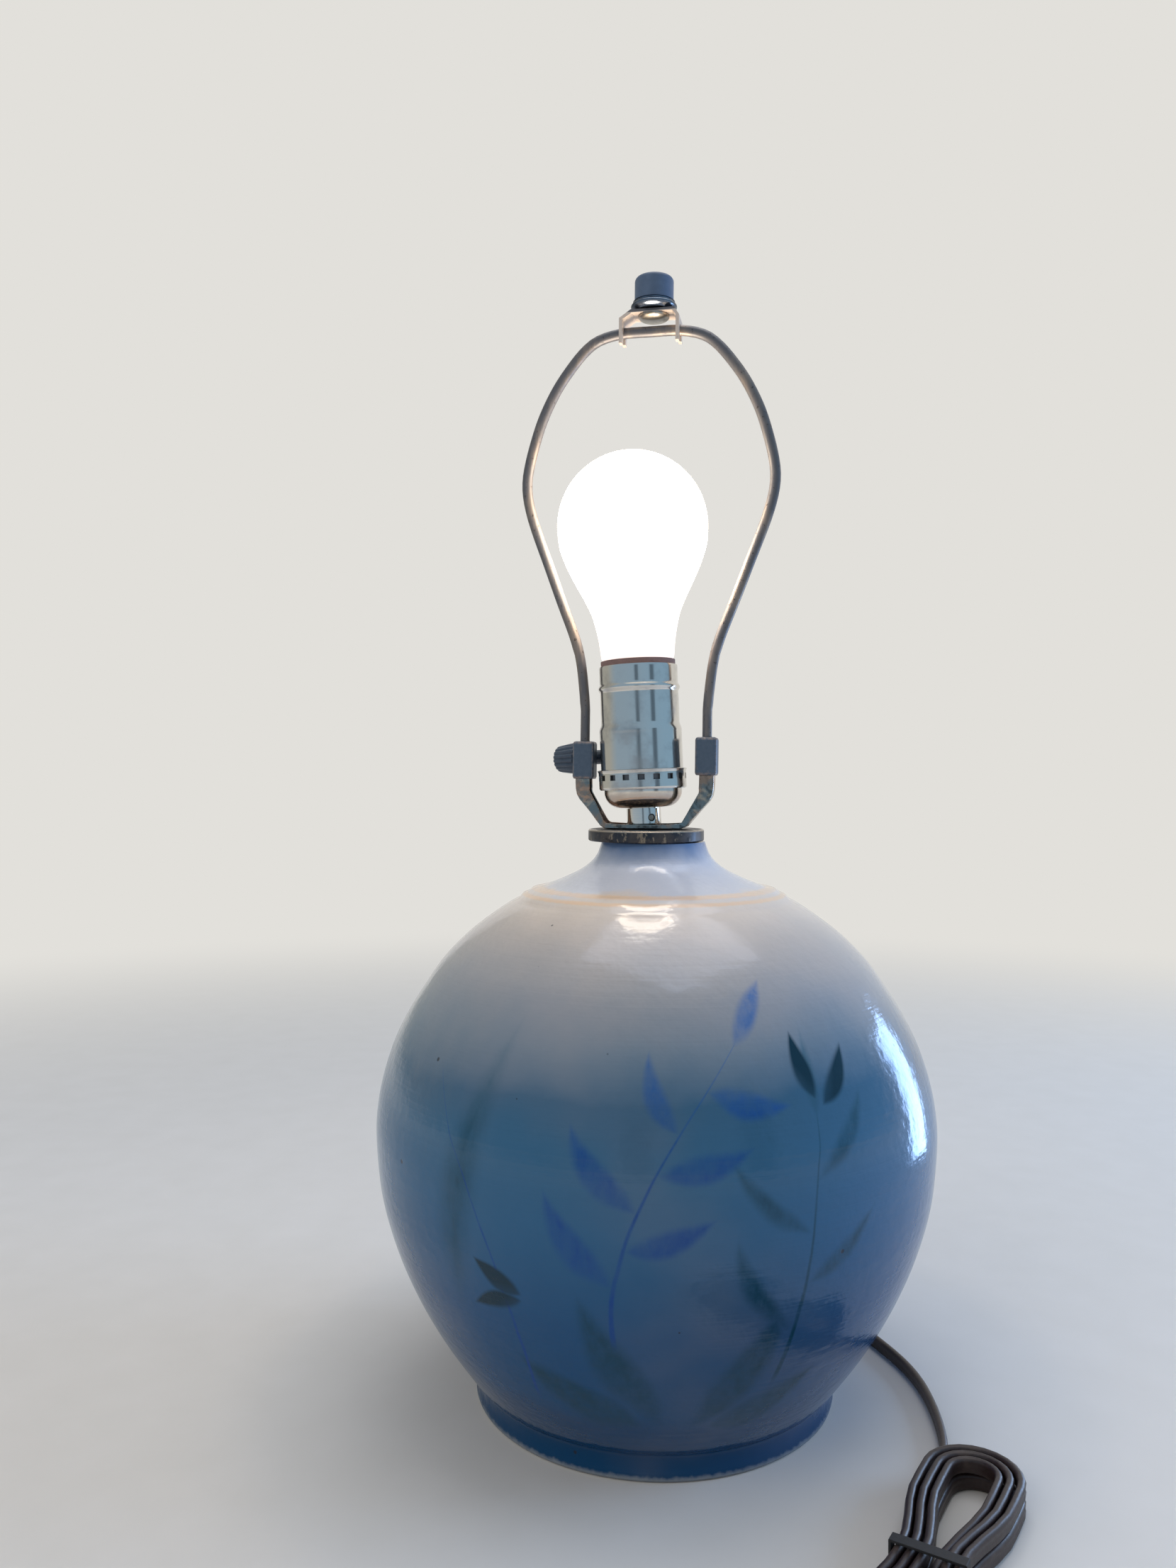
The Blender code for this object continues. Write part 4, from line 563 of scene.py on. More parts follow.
@finish
def cord_sheath(place):
    grain = noise(place, 900, 4)
    dust = patches(place, 0.52, 0.75, 90, 3)
    colour = layered((36, 27, 27), (grain, (58, 44, 41)), (dust * 0.35, (112, 98, 88)))
    return looks(colour, 0.30 + 0.25 * grain + dust * 0.15, bump(grain, 0.0001, 0.35))


@finish
def plug_rubber(place):
    grain = noise(place, 700, 3)
    return looks(mixed(grain, (24, 24, 26), (44, 43, 45)), 0.5, bump(grain, 0.00004, 0.4))


relief_points = relief_line()
relief_radii = []
for i in range(len(relief_points)):
    groove = RELIEF_GROOVE if i % RELIEF_RIB_POINTS >= RELIEF_RIB_POINTS / 2 else 1.0
    relief_radii.append(groove * between(*RELIEF_TAPER, i / (len(relief_points) - 1)))
relief = tube_along("cord_relief", relief_points, oval(*RELIEF_HALF, 20), relief_radii)
done(relief, "lamp", "black_plastic", "plug_rubber")

flex = tube_along("flat_cord", cord_points, two_core_section(CORD_WIDTH, CORD_THICKNESS))
done(flex, "lamp", "brown_cord", "cord_sheath", "cord_lead", "cord_hank", "cord_tail")

# %% [markdown]
# ## The finishes
# Each finish says what the real surface shows: the colour, how it varies, where it is worn and how fine
# its grain is. The scales are in patches a metre, so 400 gives patches of two or three millimetres.


# %% Metals
PIPE_SHIFT = -0.0036
SOCKET_FOOT = Vector((PIPE_SHIFT, 0, 0.2210))
SOCKET_LEAN = math.radians(2.3)
THREAD_PITCH = 0.00094


def aged_metal(light, dark, roughness, scale=160, grain=0.00003):
    """A metal with darker cloudy patches, a little rougher where it is dark."""

    def make(place):
        cloud = patches(place, 0.38, 0.66, scale, 5, 0.6)
        fine = noise(place, scale * 9, 3)
        rough = roughness + 0.14 * cloud + 0.08 * fine
        return looks(mixed(cloud, light, dark), rough, bump(fine, grain, 0.5), 1.0)

    return make


def up_socket(place):
    """The height along the socket's own leaning axis."""
    return local_axes(place, SOCKET_FOOT, -SOCKET_LEAN)[2]


@finish
def bright_nickel(place):
    """Rolled and plated sheet: pale grey, with a painted warm reflection low on the dome, and smudges that
    dull it.
    """
    height = up_socket(place)
    smudge = patches(place, 0.45, 0.75, 75, 4, 0.6)
    lines = noise(place, 60, 2, 0.5, (1.0, 1.0, 45.0))
    # painted reflection: a warm brown tint on the lower part of the dome, in place of warm surroundings
    # mirrored there
    warm = smooth(height, 0.0064, 0.0067) * (1 - smooth(height, 0.0096, 0.0145))
    colour = mixed(warm * 0.8, mixed(smudge, (220, 217, 211), (186, 184, 182)), (196, 172, 152))
    return looks(colour, 0.13 + 0.15 * smudge, bump(lines, 0.00003, 0.25), 1.0)


@finish
def shell_nickel(place):
    """The same plate, with painted shade where the slotted cap covers it, so that its slots look deep."""
    plate = bright_nickel(place)
    # painted shade: the plate is darkened below the cap's lip, in place of the shadow seen through the slots
    painted_shade_under_cap = 1 - smooth(up_socket(place), 0.0209, 0.0213)
    colour = mixed(painted_shade_under_cap, plate["Base Color"], (104, 106, 110))
    return looks(colour, plate["Roughness"] + painted_shade_under_cap * 0.35, plate["Normal"], 1.0)


@finish
def saddle_steel(place):
    """Polished strip: green-grey, with tan where it has worn through, and small dark pits."""
    worn = patches(place, 0.44, 0.62, 120, 4, 0.6)
    pits = patches(place, 0.62, 0.74, 1500, 2)
    wave = noise(place, 150, 2)
    colour = mixed(pits * 0.5, mixed(worn, (132, 136, 134), (170, 142, 124)), (60, 54, 52))
    return looks(colour, 0.18 + 0.12 * worn + 0.15 * pits, bump(wave - pits * 0.03, 0.0012, 0.75), 1.0)


@finish
def bracket_plate(place):
    """Plated strip gone matt: a pale pinkish grey with small dark pits, and painted shade on top of its
    plate, away from the bulb's light.
    """
    cloud = noise(place, 260, 4, 0.6)
    pits = patches(place, 0.64, 0.76, 1100, 3)
    # painted shade: the top face of the plate is darkened, as the bulb below lights only its underside
    painted_shade_on_top = smooth(axes(place)[2], 0.4234, 0.4237)
    colour = layered((198, 182, 170), (cloud, (214, 200, 188)), (pits * 0.25, (110, 98, 92)))
    colour = mixed(painted_shade_on_top * 0.85, colour, (66, 72, 82))
    return looks(colour, 0.40 + 0.15 * cloud, bump(cloud - pits, 0.00006, 0.4), 0.35)


@finish
def old_brass(place):
    """Brass gone slate dark, with tan streaks down its edge, and round its top edge a painted highlight on
    metal rubbed smoother.
    """
    x, y, height = axes(place)
    across = x + 0.0029
    reach = (across * across + y * y) ** 0.5
    # painted highlight: a pale line round the top edge, where the rubbed metal is also smoother and more
    # metallic
    rim = smooth(reach, 0.0218, 0.0224) * smooth(height, 0.2182, 0.2187)
    patch = patches(place, 0.42, 0.60, 120, 5, 0.62)
    streak = patches(place, 0.56, 0.63, 300, 4, 0.62, (1.4, 1.4, 0.6))
    black = patches(place, 0.60, 0.66, 300, 3, 0.6)
    colour = layered((44, 48, 56), (patch, (72, 68, 68)), (streak * 0.65, (156, 142, 122)))
    colour = layered(colour, (black * 0.8, (34, 32, 36)), (rim * 0.75, (196, 184, 170)))
    rough = 0.34 + 0.16 * patch - 0.1 * rim
    return looks(colour, rough, bump(patch + streak, 0.00003, 0.4), 0.55 + 0.3 * rim)


@finish
def harp_wire(place):
    """Bronzed steel wire: grey-brown, rubbed lighter in long streaks, with small dark scars."""
    rub = patches(place, 0.44, 0.70, 120, 4, 0.6, (1.0, 1.0, 0.25))
    scar = patches(place, 0.62, 0.70, 620, 3, 0.7)
    colour = mixed(scar, mixed(rub, (98, 98, 102), (134, 124, 116)), (58, 52, 50))
    return looks(colour, 0.42 - 0.08 * rub + 0.2 * scar, bump(rub - scar, 0.00005, 0.5), 0.5)


@finish
def threaded_steel(place):
    """Zinc-plated pipe with its thread, drawn as rings in the bump."""
    _, _, height = axes(place)
    thread = height.math("SINE", height * (math.tau / THREAD_PITCH))
    dull = noise(place, 300, 4)
    colour = mixed(dull, (168, 163, 150), (120, 113, 101))
    return looks(colour, 0.30 + 0.2 * dull, bump(thread, 0.00012, 0.9), 1.0)


METALS = {
    "plain_steel": ((176, 172, 164), (126, 118, 106), 0.26),
    "bright_brass": ((214, 172, 96), (168, 122, 58), 0.24),
    "tin_plate": ((206, 204, 198), (160, 156, 148), 0.26),
    "rolled_aluminium": ((216, 214, 208), (178, 175, 168), 0.24),
    "filament_grey": ((150, 145, 140), (96, 90, 86), 0.35),
    "skirt_metal": ((112, 122, 136), (70, 78, 90), 0.14, 90, 0.000003),
}
for name, tones in METALS.items():
    finish(aged_metal(*tones), name)


# %% Plastics, rubber, fibre and paint
def moulded(light, dark, roughness, scale=500, depth=0.00004):
    """Moulded plastic or rubber: a fine matt grain and a little dust."""

    def make(place):
        grain = noise(place, scale, 4)
        dust = patches(place, 0.50, 0.72, scale / 6, 4, 0.6)
        colour = mixed(grain * 0.6 + dust * 0.4, dark, light)
        return looks(colour, roughness + 0.12 * dust, bump(grain, depth, 0.4))

    return make


def edge_mask(place, centre, half, lean):
    """1 along the edges of a box: where two of the three shares of its half size are near 1."""
    a, b, c = [abs(value) / size for value, size in zip(local_axes(place, centre, lean), half)]
    pairs = [a.math("MINIMUM", *pair) for pair in ((a, b), (b, c), (a, c))]
    return smooth(larger(larger(pairs[0], pairs[1]), pairs[2]), 0.80, 0.95)


def rubbed_paint(centre, half, lean):
    """Gunmetal paint on a small cast sleeve, rubbed through to paler metal at its edges."""

    def make(place):
        cloud = noise(place, 700, 4, 0.6)
        edge = edge_mask(place, centre, half, lean) * smooth(cloud, 0.30, 0.62)
        worn = larger(edge * 0.7, patches(place, 0.70, 0.76, 420, 3, 0.7))
        colour = mixed(worn, mixed(cloud, (66, 81, 98), (90, 105, 122)), (160, 142, 132))
        rough = 0.42 - 0.1 * worn + 0.1 * cloud
        return looks(colour, rough, bump(cloud - worn * 0.6, 0.00006, 0.5), 0.35 + 0.5 * worn)

    return make


@finish
def liner_fibre(place):
    """Pressed fibre: fine paler hairs, all pressed flat."""
    hair = noise(place, 520, 5, 0.7, (1.0, 1.0, 4.0))
    return looks(mixed(hair, (92, 72, 72), (138, 114, 110)), 0.75 + 0.15 * hair, bump(hair, 0.0001, 0.6))


PLASTICS = {
    "black_plastic": ((80, 96, 116), (44, 56, 72), 0.34),
    "black_rubber": ((52, 50, 50), (26, 25, 25), 0.62, 700),
    "moulded_inside": ((84, 66, 56), (42, 32, 28), 0.42),
    "slate_lacquer": ((92, 113, 140), (68, 86, 111), 0.46, 380, 0.00003),
    "base_glass": ((44, 42, 58), (20, 20, 30), 0.10, 200, 0.00001),
}
for name, tones in PLASTICS.items():
    finish(moulded(*tones), name)

# %% [markdown]
# ## The pot
# The pot was thrown on a wheel: a round belly, a low foot, a shoulder that ends in two fine ridges and a
# short flared neck. Its section is drawn from a few points with a smooth curve through them, and then spun.
# The foot is hollow underneath and the wall has its real thickness. Two holes are drilled: one in the floor
# for the pipe and one in the foot for the cord.

# %% Shape of the pot
BELLY = (0.1085, 0.1035)
FOOT_RADIUS = 0.0694
FOOT_TOP = 0.0090
FOOT_ROLL = 0.0006
RIDGE_OUTER = (0.0525, 0.1926)
RIDGE_INNER = (0.0465, 0.1959)
RIDGE_RISE = 0.0005
RIM = (0.0205, 0.2141)
WALL = 0.0055
RING_WIDTH = 0.0085
RECESS = 0.0125
FLOOR_THICKNESS = 0.007
FLOOR_CORNER = 0.006
PIPE_RADIUS = 0.0049
EXIT_BORE = 0.0041
FLANK_SHARES = ((0.077, 0.0296), (0.177, 0.0846), (0.387, 0.2116), (0.580, 0.3492), (0.747, 0.4974))
FLANK_SHARES += ((0.873, 0.6455), (0.959, 0.7989), (1.0, 1.0))
SHOULDER_SHARES = ((0.986, 0.133), (0.946, 0.254), (0.873, 0.390), (0.777, 0.511), (0.673, 0.615))
SHOULDER_SHARES += ((0.545, 0.730), (0.382, 0.834), (0.227, 0.910), (0.098, 0.965), (0.0, 1.0))
NECK_SHARES = ((0.81, 0.077), (0.55, 0.225), (0.265, 0.44), (0.085, 0.687), (0.0, 1.0))
RIDGE_SHARES = ((0.86, 0.40), (0.62, 0.34), (0.42, 0.62), (0.16, 0.90))
POT_POINTS = 112
POT_STEPS = 144


def corner_pairs(shares, narrow, wide, low, high, lift=0.0):
    return [(between(narrow, wide, out), between(low, high, up) + lift) for out, up in shares]


def pot_side():
    """The outer line from the top of the foot to the rim."""
    line = [(FOOT_RADIUS, FOOT_ROLL * 5), (FOOT_RADIUS, FOOT_TOP)]
    line += corner_pairs(FLANK_SHARES, FOOT_RADIUS, BELLY[0], FOOT_TOP, BELLY[1])
    line += corner_pairs(SHOULDER_SHARES, RIDGE_OUTER[0], BELLY[0], BELLY[1], RIDGE_OUTER[1])
    ridge = (RIDGE_INNER[0], RIDGE_OUTER[0], RIDGE_OUTER[1], RIDGE_INNER[1])
    line += corner_pairs(RIDGE_SHARES, *ridge, RIDGE_RISE) + [RIDGE_INNER]
    line += corner_pairs(NECK_SHARES, RIM[0], RIDGE_INNER[0], RIDGE_INNER[1], RIM[1])
    return curve_through(line, POT_POINTS)


def pot_section():
    """The whole section: underside, foot, side, rim, inner wall and floor."""
    side = pot_side()
    floor = RECESS + FLOOR_THICKNESS
    ring_inner = FOOT_RADIUS - RING_WIDTH
    under = [(0, RECESS), (ring_inner - FLOOR_CORNER / 2, RECESS), (ring_inner, RECESS - FLOOR_CORNER / 2)]
    under += [(ring_inner, FOOT_ROLL), (ring_inner + FOOT_ROLL, 0), (FOOT_RADIUS - FOOT_ROLL, 0)]
    under += [(FOOT_RADIUS + FOOT_ROLL / 2, FOOT_ROLL), (FOOT_RADIUS + FOOT_ROLL, FOOT_ROLL * 2.5)]
    wall = [p for p in thickened(side, WALL)[len(side) :] if p[1] > floor + FLOOR_CORNER][::4]
    edge = wall[-1][0]
    inside = [(edge - FLOOR_CORNER * 0.5, floor + FLOOR_CORNER * 0.5)]
    inside += [(edge - FLOOR_CORNER * 1.4, floor + FLOOR_CORNER * 0.1), (edge - FLOOR_CORNER * 2, floor)]
    return under + [tuple(p) for p in side] + wall + inside + [(0, floor)]


pot = turned("painted_pot", pot_section(), POT_STEPS, crease=50)
clear = 2 * GAP
drill(pot, PIPE_RADIUS + clear, (PIPE_SHIFT, 0, RECESS - MM), (PIPE_SHIFT, 0, RECESS + FLOOR_THICKNESS + MM))
exit_way = outward(EXIT_ANGLE)
exit_lift = Vector((0, 0, EXIT_HEIGHT))
exit_span = (FOOT_RADIUS - RING_WIDTH - 2 * MM, FOOT_RADIUS + 2 * MM)
drill_out(pot, EXIT_BORE, EXIT_ANGLE, EXIT_HEIGHT, exit_span)

# %% [markdown]
# ## The glaze and its painting
# The glaze runs from a pale blue neck and cream ridges through grey to a deep blue foot, with fine
# rings from the potter's fingers and a few iron specks. Painted light lies in the same colours: they grow
# paler and warmer up the shoulder, where the bulb lights it, darker towards the foot, which lies in shade,
# and darker again at the top of the neck, a painted shadow of the brass cap. The brushwork is a plain leaf
# pattern of this lesson's own. One function draws one leaf as a mask in a flat map of the pot, which has
# the distance round the belly across and the height up, and a loop sets the leaves along a bent stem. The
# map is folded so that the front and the back carry the same sprays.

# %% Leaves drawn with sums
MAP_RADIUS = 0.100
BRUSH_EDGE = 0.11


def leaf(across, up, root, heading, length, width, bend):
    """A brush stroke from its root: pointed ends, and more paint towards its tip and its lower edge."""
    cos, sin = math.cos(math.radians(heading)) / length, math.sin(math.radians(heading)) / length
    dx, dy = across - root[0], up - root[1]
    along = dx * cos + dy * sin
    arch = along * (1 - along)
    side = dy * cos - dx * sin - arch * bend
    half = larger(arch * 4, 0.0) ** 0.8 * (1.3 - along * 0.6) * (width / length / 2)
    body = smooth(half - abs(side), 0.0, BRUSH_EDGE)
    return body * (0.50 + 0.42 * along - side * (length / width * 0.35))


def stem(across, up, root, size, lean, bend, width):
    """A thin line that climbs size high, leaning and bending as it goes."""
    share = (up - root[1]) / size
    middle = share * lean + share * share * bend + root[0]
    inside = smooth(share, 0.0, 0.10) * (1 - smooth(share, 1.02, 1.08))
    thin = width * (1.25 - 0.8 * share)
    return inside * smooth(thin - abs(across - middle), 0.0, width * 0.8) * 0.85


def spray(across, up, root, size, lean, bend, leaves, longest, spread, slender=0.30):
    """A stem with leaves on alternate sides, shorter towards the tip, and one leaf at its end."""
    mask = stem(across, up, root, size, lean, bend, 0.0011)
    for i in range(leaves):
        share = 0.25 + 0.75 * i / (leaves - 1)
        place = (root[0] + lean * share + bend * share * share, root[1] + size * share)
        climb = math.degrees(math.atan2(size, lean + 2 * bend * share))
        side = 0 if i == leaves - 1 else (-1 if i % 2 else 1)
        length = longest * (1.0 - 0.30 * share) * (0.86 if i % 3 == 1 else 1.0)
        heading = climb + side * (spread + 7 * (i % 3))
        mask = larger(mask, leaf(across, up, place, heading, length, length * slender, side * 0.34 + 0.10))
    return mask


def strokes(across, up, table):
    """Single brush strokes: root across and up, heading, length, width and bend of each."""
    mask = 0.0
    for x, y, heading, length, width, bend in table:
        one = leaf(across, up, (x, y), heading, length, width, bend)
        mask = larger(one, mask)
    return mask


def pot_map(place):
    """Distance round the belly from the front, folded front on back, and the height."""
    x, y, height = axes(place)
    turn = x.math("ARCTAN2", x, y * -1.0)
    folded = turn.math("WRAP", turn, math.radians(115), math.radians(-65))
    return folded * MAP_RADIUS, height


# %% The glaze itself
# Glaze colours by share of height, with painted light in them: the pale neck, cream ridges and blue foot are
# the glaze's own, the pale warm rise up the shoulder is painted bulb light, the darkening towards the foot
# painted shade, and the darker last stop a painted shadow under the brass cap.
GLAZE_AND_PAINTED_LIGHT = [(0.00, 6, 60, 98), (0.11, 6, 60, 100), (0.15, 14, 70, 112), (0.30, 28, 76, 118)]
GLAZE_AND_PAINTED_LIGHT += [(0.46, 44, 94, 132), (0.57, 54, 98, 130), (0.64, 54, 94, 123), (0.71, 112, 129, 144)]
GLAZE_AND_PAINTED_LIGHT += [(0.78, 150, 154, 160), (0.85, 180, 175, 172), (0.895, 206, 197, 188), (0.913, 204, 198, 194)]
GLAZE_AND_PAINTED_LIGHT += [(0.922, 192, 198, 210), (0.965, 184, 192, 208), (1.00, 92, 118, 156)]
GLAZE_AND_PAINTED_LIGHT_STOPS = [(share, srgb(*tone)) for share, *tone in GLAZE_AND_PAINTED_LIGHT]
RIDGE_LINES = (0.1950, 0.0011)
WASH_STROKES = [
    (0.012, 0.027, 152, 0.052, 0.020, 0.30),
    (0.020, 0.027, 118, 0.060, 0.020, 0.24),
    (0.030, 0.026, 62, 0.056, 0.019, -0.26),
    (0.036, 0.026, 28, 0.046, 0.017, -0.30),
    (-0.052, 0.060, 80, 0.104, 0.020, 0.16),
]
BUD_STROKES = [
    (0.069, 0.136, 100, 0.021, 0.0085, 0.20),
    (0.071, 0.134, 48, 0.023, 0.0085, -0.22),
    (-0.026, 0.074, 150, 0.020, 0.0085, 0.22),
    (-0.026, 0.072, 196, 0.021, 0.0080, -0.22),
]


@finish
def painted_glaze(place):
    across, height = pot_map(place)
    cloud = noise(place, 26, 4, 0.55)
    fine = noise(place, 420, 3)
    base = height.node("ValToRGB", {"stops": GLAZE_AND_PAINTED_LIGHT_STOPS}, {0: (height + (cloud - 0.5) * 0.016) / RIM[1]})
    warm = patches(place, 0.48, 0.75, 13, 3)
    base = mixed(warm * 0.16, base, (150, 140, 138))
    wobble = (noise(place, 22, 2) - 0.5) * 0.006
    x, up = across + wobble, height + wobble
    grey = larger(
        spray(x, up, (0.058, 0.040), 0.090, 0.012, -0.002, 5, 0.046, 36, 0.26),
        strokes(x, up, WASH_STROKES),
    )
    cobalt = larger(
        spray(x, up, (0.004, 0.058), 0.094, -0.012, 0.050, 7, 0.040, 46, 0.34),
        stem(x, up, (-0.030, 0.030), 0.105, 0.010, -0.040, 0.0008),
    )
    buds = strokes(x, up, BUD_STROKES)
    brush = noise(place, 240, 4, 0.6, (1.0, 1.0, 0.45))
    grain = noise(place, 1300, 2)
    wash = smooth(brush, 0.28, 0.72) * 0.46 + 0.50 + 0.20 * grain
    high = smooth(height, 0.115, 0.170)
    lines = abs(abs(height + (fine - 0.5) * 0.0005 - RIDGE_LINES[0]) - RIDGE_LINES[1]) * -1.0
    dots = {"Vector": place, "Scale": 80.0, "Randomness": 1.0}
    cell = place.node("TexVoronoi", {}, dots, output="Distance")
    chance, size, _ = axes(place.node("TexVoronoi", {}, dots, output="Color"))
    speck = (1 - smooth(cell, 0.020 + 0.03 * size, 0.035 + 0.05 * size)) * smooth(chance, 0.62, 0.64)
    worn = 1 - smooth(height + (fine - 0.5) * 0.0016, 0.0010, 0.0026)
    base = layered(
        base,
        (grey * wash, mixed(high, (2, 56, 72), (64, 106, 128))),
        (cobalt * wash, mixed(high, (0, 60, 134), (40, 98, 168))),
        (buds.math("MINIMUM", buds * 1.5, 1.0), (0, 40, 54)),
        (smooth(lines, -0.0008, -0.0002) * 0.65, (222, 190, 154)),
        (speck * 0.85, (34, 40, 48)),
        (worn * 0.8, (140, 146, 150)),
    )
    rings = noise(place, 5, 3, 0.6, (0.15, 0.15, 60.0))
    peel = noise(place, 230, 2)
    relief = bump(rings * 0.45 + peel * 0.55 - speck * 0.25, 0.0012, 0.30)
    gloss = {
        "Coat Weight": smooth(height, 0.03, 0.12) * 0.25,
        "Coat Roughness": 0.05,
        "Specular IOR Level": 0.42,
        "Specular Tint": srgb(186, 214, 255),
    }
    return looks(base, 0.13 + 0.05 * fine + worn * 0.55, relief) | gloss


done(pot, "lamp", "glaze", "painted_glaze", "ceramic_body")

# %% [markdown]
# ## The brass cap
# A thick brass disc closes the neck. Its edge is rounded by wear, and it sits a little to the left of the
# pot's axis, as the photograph shows.

# %% The cap on the neck
DISC_RADIUS = 0.023
DISC_SHIFT = -0.0029
DISC_THICKNESS = 0.0046
DISC_LOW = RIM[1] + GAP
DISC_HIGH = DISC_LOW + DISC_THICKNESS
DISC_EDGE = 0.0007
BOSS_RADIUS = 0.0105
BOSS_DEPTH = 0.0026


def quarter(centre, radius, start, steps=5):
    """A quarter round from a start angle, in degrees, as (radius, height) points."""
    turns = [math.radians(start + 90 * i / steps) for i in range(steps + 1)]
    return [(centre[0] + radius * math.cos(t), centre[1] + radius * math.sin(t)) for t in turns]


disc_outline = [(0, DISC_LOW - BOSS_DEPTH), (BOSS_RADIUS, DISC_LOW - BOSS_DEPTH), (BOSS_RADIUS, DISC_LOW)]
disc_outline += quarter((DISC_RADIUS - DISC_EDGE, DISC_LOW + DISC_EDGE), DISC_EDGE, -90)
disc_outline += quarter((DISC_RADIUS - DISC_EDGE, DISC_HIGH - DISC_EDGE), DISC_EDGE, 0)
disc_outline += [(0, DISC_HIGH)]
disc = turned("brass_cap", disc_outline, 96, Matrix.Translation((DISC_SHIFT, 0, 0)))
drill(disc, PIPE_RADIUS + clear, (PIPE_SHIFT, 0, DISC_LOW - 4 * MM), (PIPE_SHIFT, 0, DISC_HIGH + MM))
done(disc, "lamp", "old_brass", "old_brass", "neck_disc")

# %% [markdown]
# ## The socket
# The socket is two shells of thin plated sheet. The lower one is a dome with a band, pierced by a row of
# slots, and the upper one has a step and a rolled bead, with a fibre liner that shows above its rim. The
# slots are real: their faces are deleted from the turned sheet before it gets its thickness.

# %% Places up the socket
SOCKET = Matrix.Translation(SOCKET_FOOT) @ Matrix.Rotation(-SOCKET_LEAN, 4, "Y")
HUB_RADIUS = 0.0068
HUB_BORE = 0.0057
HUB_HEIGHT = 0.0063
HUB_EDGE = 0.0003
SPIGOT = (0.0060, 0.0020)
SCREW_TURN = math.radians(-54)
SCREW_HEIGHT = 0.0026
SCREW_RADIUS = 0.0015
SCREW_SPAN = (0.0045, 0.0080)
DOME_LOW = HUB_HEIGHT + GAP
DOME_FLAT = 0.0090
DOME_RADIUS = 0.0156
DOME_HEIGHT = 0.0072
DOME_ROUND_SHARE = 0.93
BAND_RADIUS = 0.01745
BAND_LOW = DOME_LOW + DOME_HEIGHT
BAND_HIGH = BAND_LOW + 0.0078
BAND_LIP = 0.0004
BAND_EDGE = (0.0004, 0.0001)
BAND_RISES = (0.0006, 0.0011)
LIP_DROPS = (0.0013, 0.0009)
SHEET = 0.0006
SLOT_COUNT = 18
STEPS_A_SLOT = 9
OPEN_FROM_STEP = 5
SLOT_MIDDLE = BAND_HIGH - 0.0029
SLOT_HEIGHT = 0.0022
SLOT_PHASE = 0.885

# %% Hub, dome and slotted band
hub_outline = [(HUB_BORE, 0), (HUB_RADIUS - HUB_EDGE, 0), (HUB_RADIUS, HUB_EDGE), (HUB_RADIUS, HUB_HEIGHT)]
hub_outline += [(SPIGOT[0], HUB_HEIGHT), (SPIGOT[0], HUB_HEIGHT + SPIGOT[1])]
hub_outline += [(HUB_BORE, HUB_HEIGHT + SPIGOT[1]), (HUB_BORE, 0)]
hub = turned("socket_hub", hub_outline, 64, SOCKET)
drill_out(hub, SCREW_RADIUS, SCREW_TURN, SCREW_HEIGHT, SCREW_SPAN, SOCKET, 24)
done(hub, "lamp", "nickel", "bright_nickel", "cap_hub")

dome_line = [(SPIGOT[0] + GAP, DOME_LOW), (DOME_FLAT, DOME_LOW)]
for i in range(1, 11):
    angle = math.pi / 2 * i / 10
    out = between(DOME_FLAT, DOME_RADIUS, math.sin(angle))
    dome_line.append((out, DOME_LOW + DOME_HEIGHT * DOME_ROUND_SHARE * (1 - math.cos(angle))))
dome_line += [(DOME_RADIUS, BAND_LOW), (BAND_RADIUS - BAND_EDGE[0], BAND_LOW + BAND_EDGE[1])]
band_heights = [BAND_LOW + rise for rise in BAND_RISES]
band_heights += [SLOT_MIDDLE - SLOT_HEIGHT / 2, SLOT_MIDDLE + SLOT_HEIGHT / 2]
band_heights += [BAND_HIGH - drop for drop in LIP_DROPS]
dome_line += [(BAND_RADIUS, height) for height in band_heights]
dome_line += [(BAND_RADIUS + BAND_LIP, BAND_HIGH)]
slot_step = math.tau / SLOT_COUNT
face_step = slot_step / STEPS_A_SLOT
phase = SLOT_PHASE * slot_step - (STEPS_A_SLOT + OPEN_FROM_STEP) / 2 * face_step
cap = turned("slotted_cap", dome_line, SLOT_COUNT * STEPS_A_SLOT)


def in_slot(centre):
    """True for the faces that are punched out: four in each nine, between the slot's two heights."""
    face = int((math.atan2(centre.y, centre.x) % math.tau) / face_step)
    return abs(centre.z - SLOT_MIDDLE) <= SLOT_HEIGHT / 2 and face % STEPS_A_SLOT >= OPEN_FROM_STEP


punch(cap, in_slot)
apply_modifier(cap, "SOLIDIFY", thickness=SHEET, offset=-1)
settle(cap, SOCKET @ Matrix.Rotation(phase, 4, "Z"))
soften()
done(cap, "lamp", "nickel", "bright_nickel", "socket_cap")

# %% Shell, liner and the hole for the switch
SHELL_LOW_RADIUS = 0.0164
SHELL_RADIUS = 0.01565
SHELL_TOP = 0.0628
SHELL_SHEET = 0.0005
STEP_LOW = 0.0366
STEP_HEIGHT = 0.0034
BEAD = 0.0541
BEAD_HALF = 0.0017
BEAD_DEPTH = 0.0007
SHELL_OVERLAP = 0.0062
STEP_EASE = 0.0010
STEP_SWELL = 0.00018
CURVE_EASE = 0.0006
RIM_EASES = (0.0010, 0.0004, 0.0001)
LINER_RADIUS = 0.01485
LINER_SHEET = 0.0009
LINER_LOW = 0.0172
LINER_TOP = 0.0650
SWITCH_HEIGHT = 0.0276
SWITCH_TURN = math.radians(158)
SWITCH_BORE = 0.0035
SWITCH_BORE_SPAN = (0.010, 0.020)

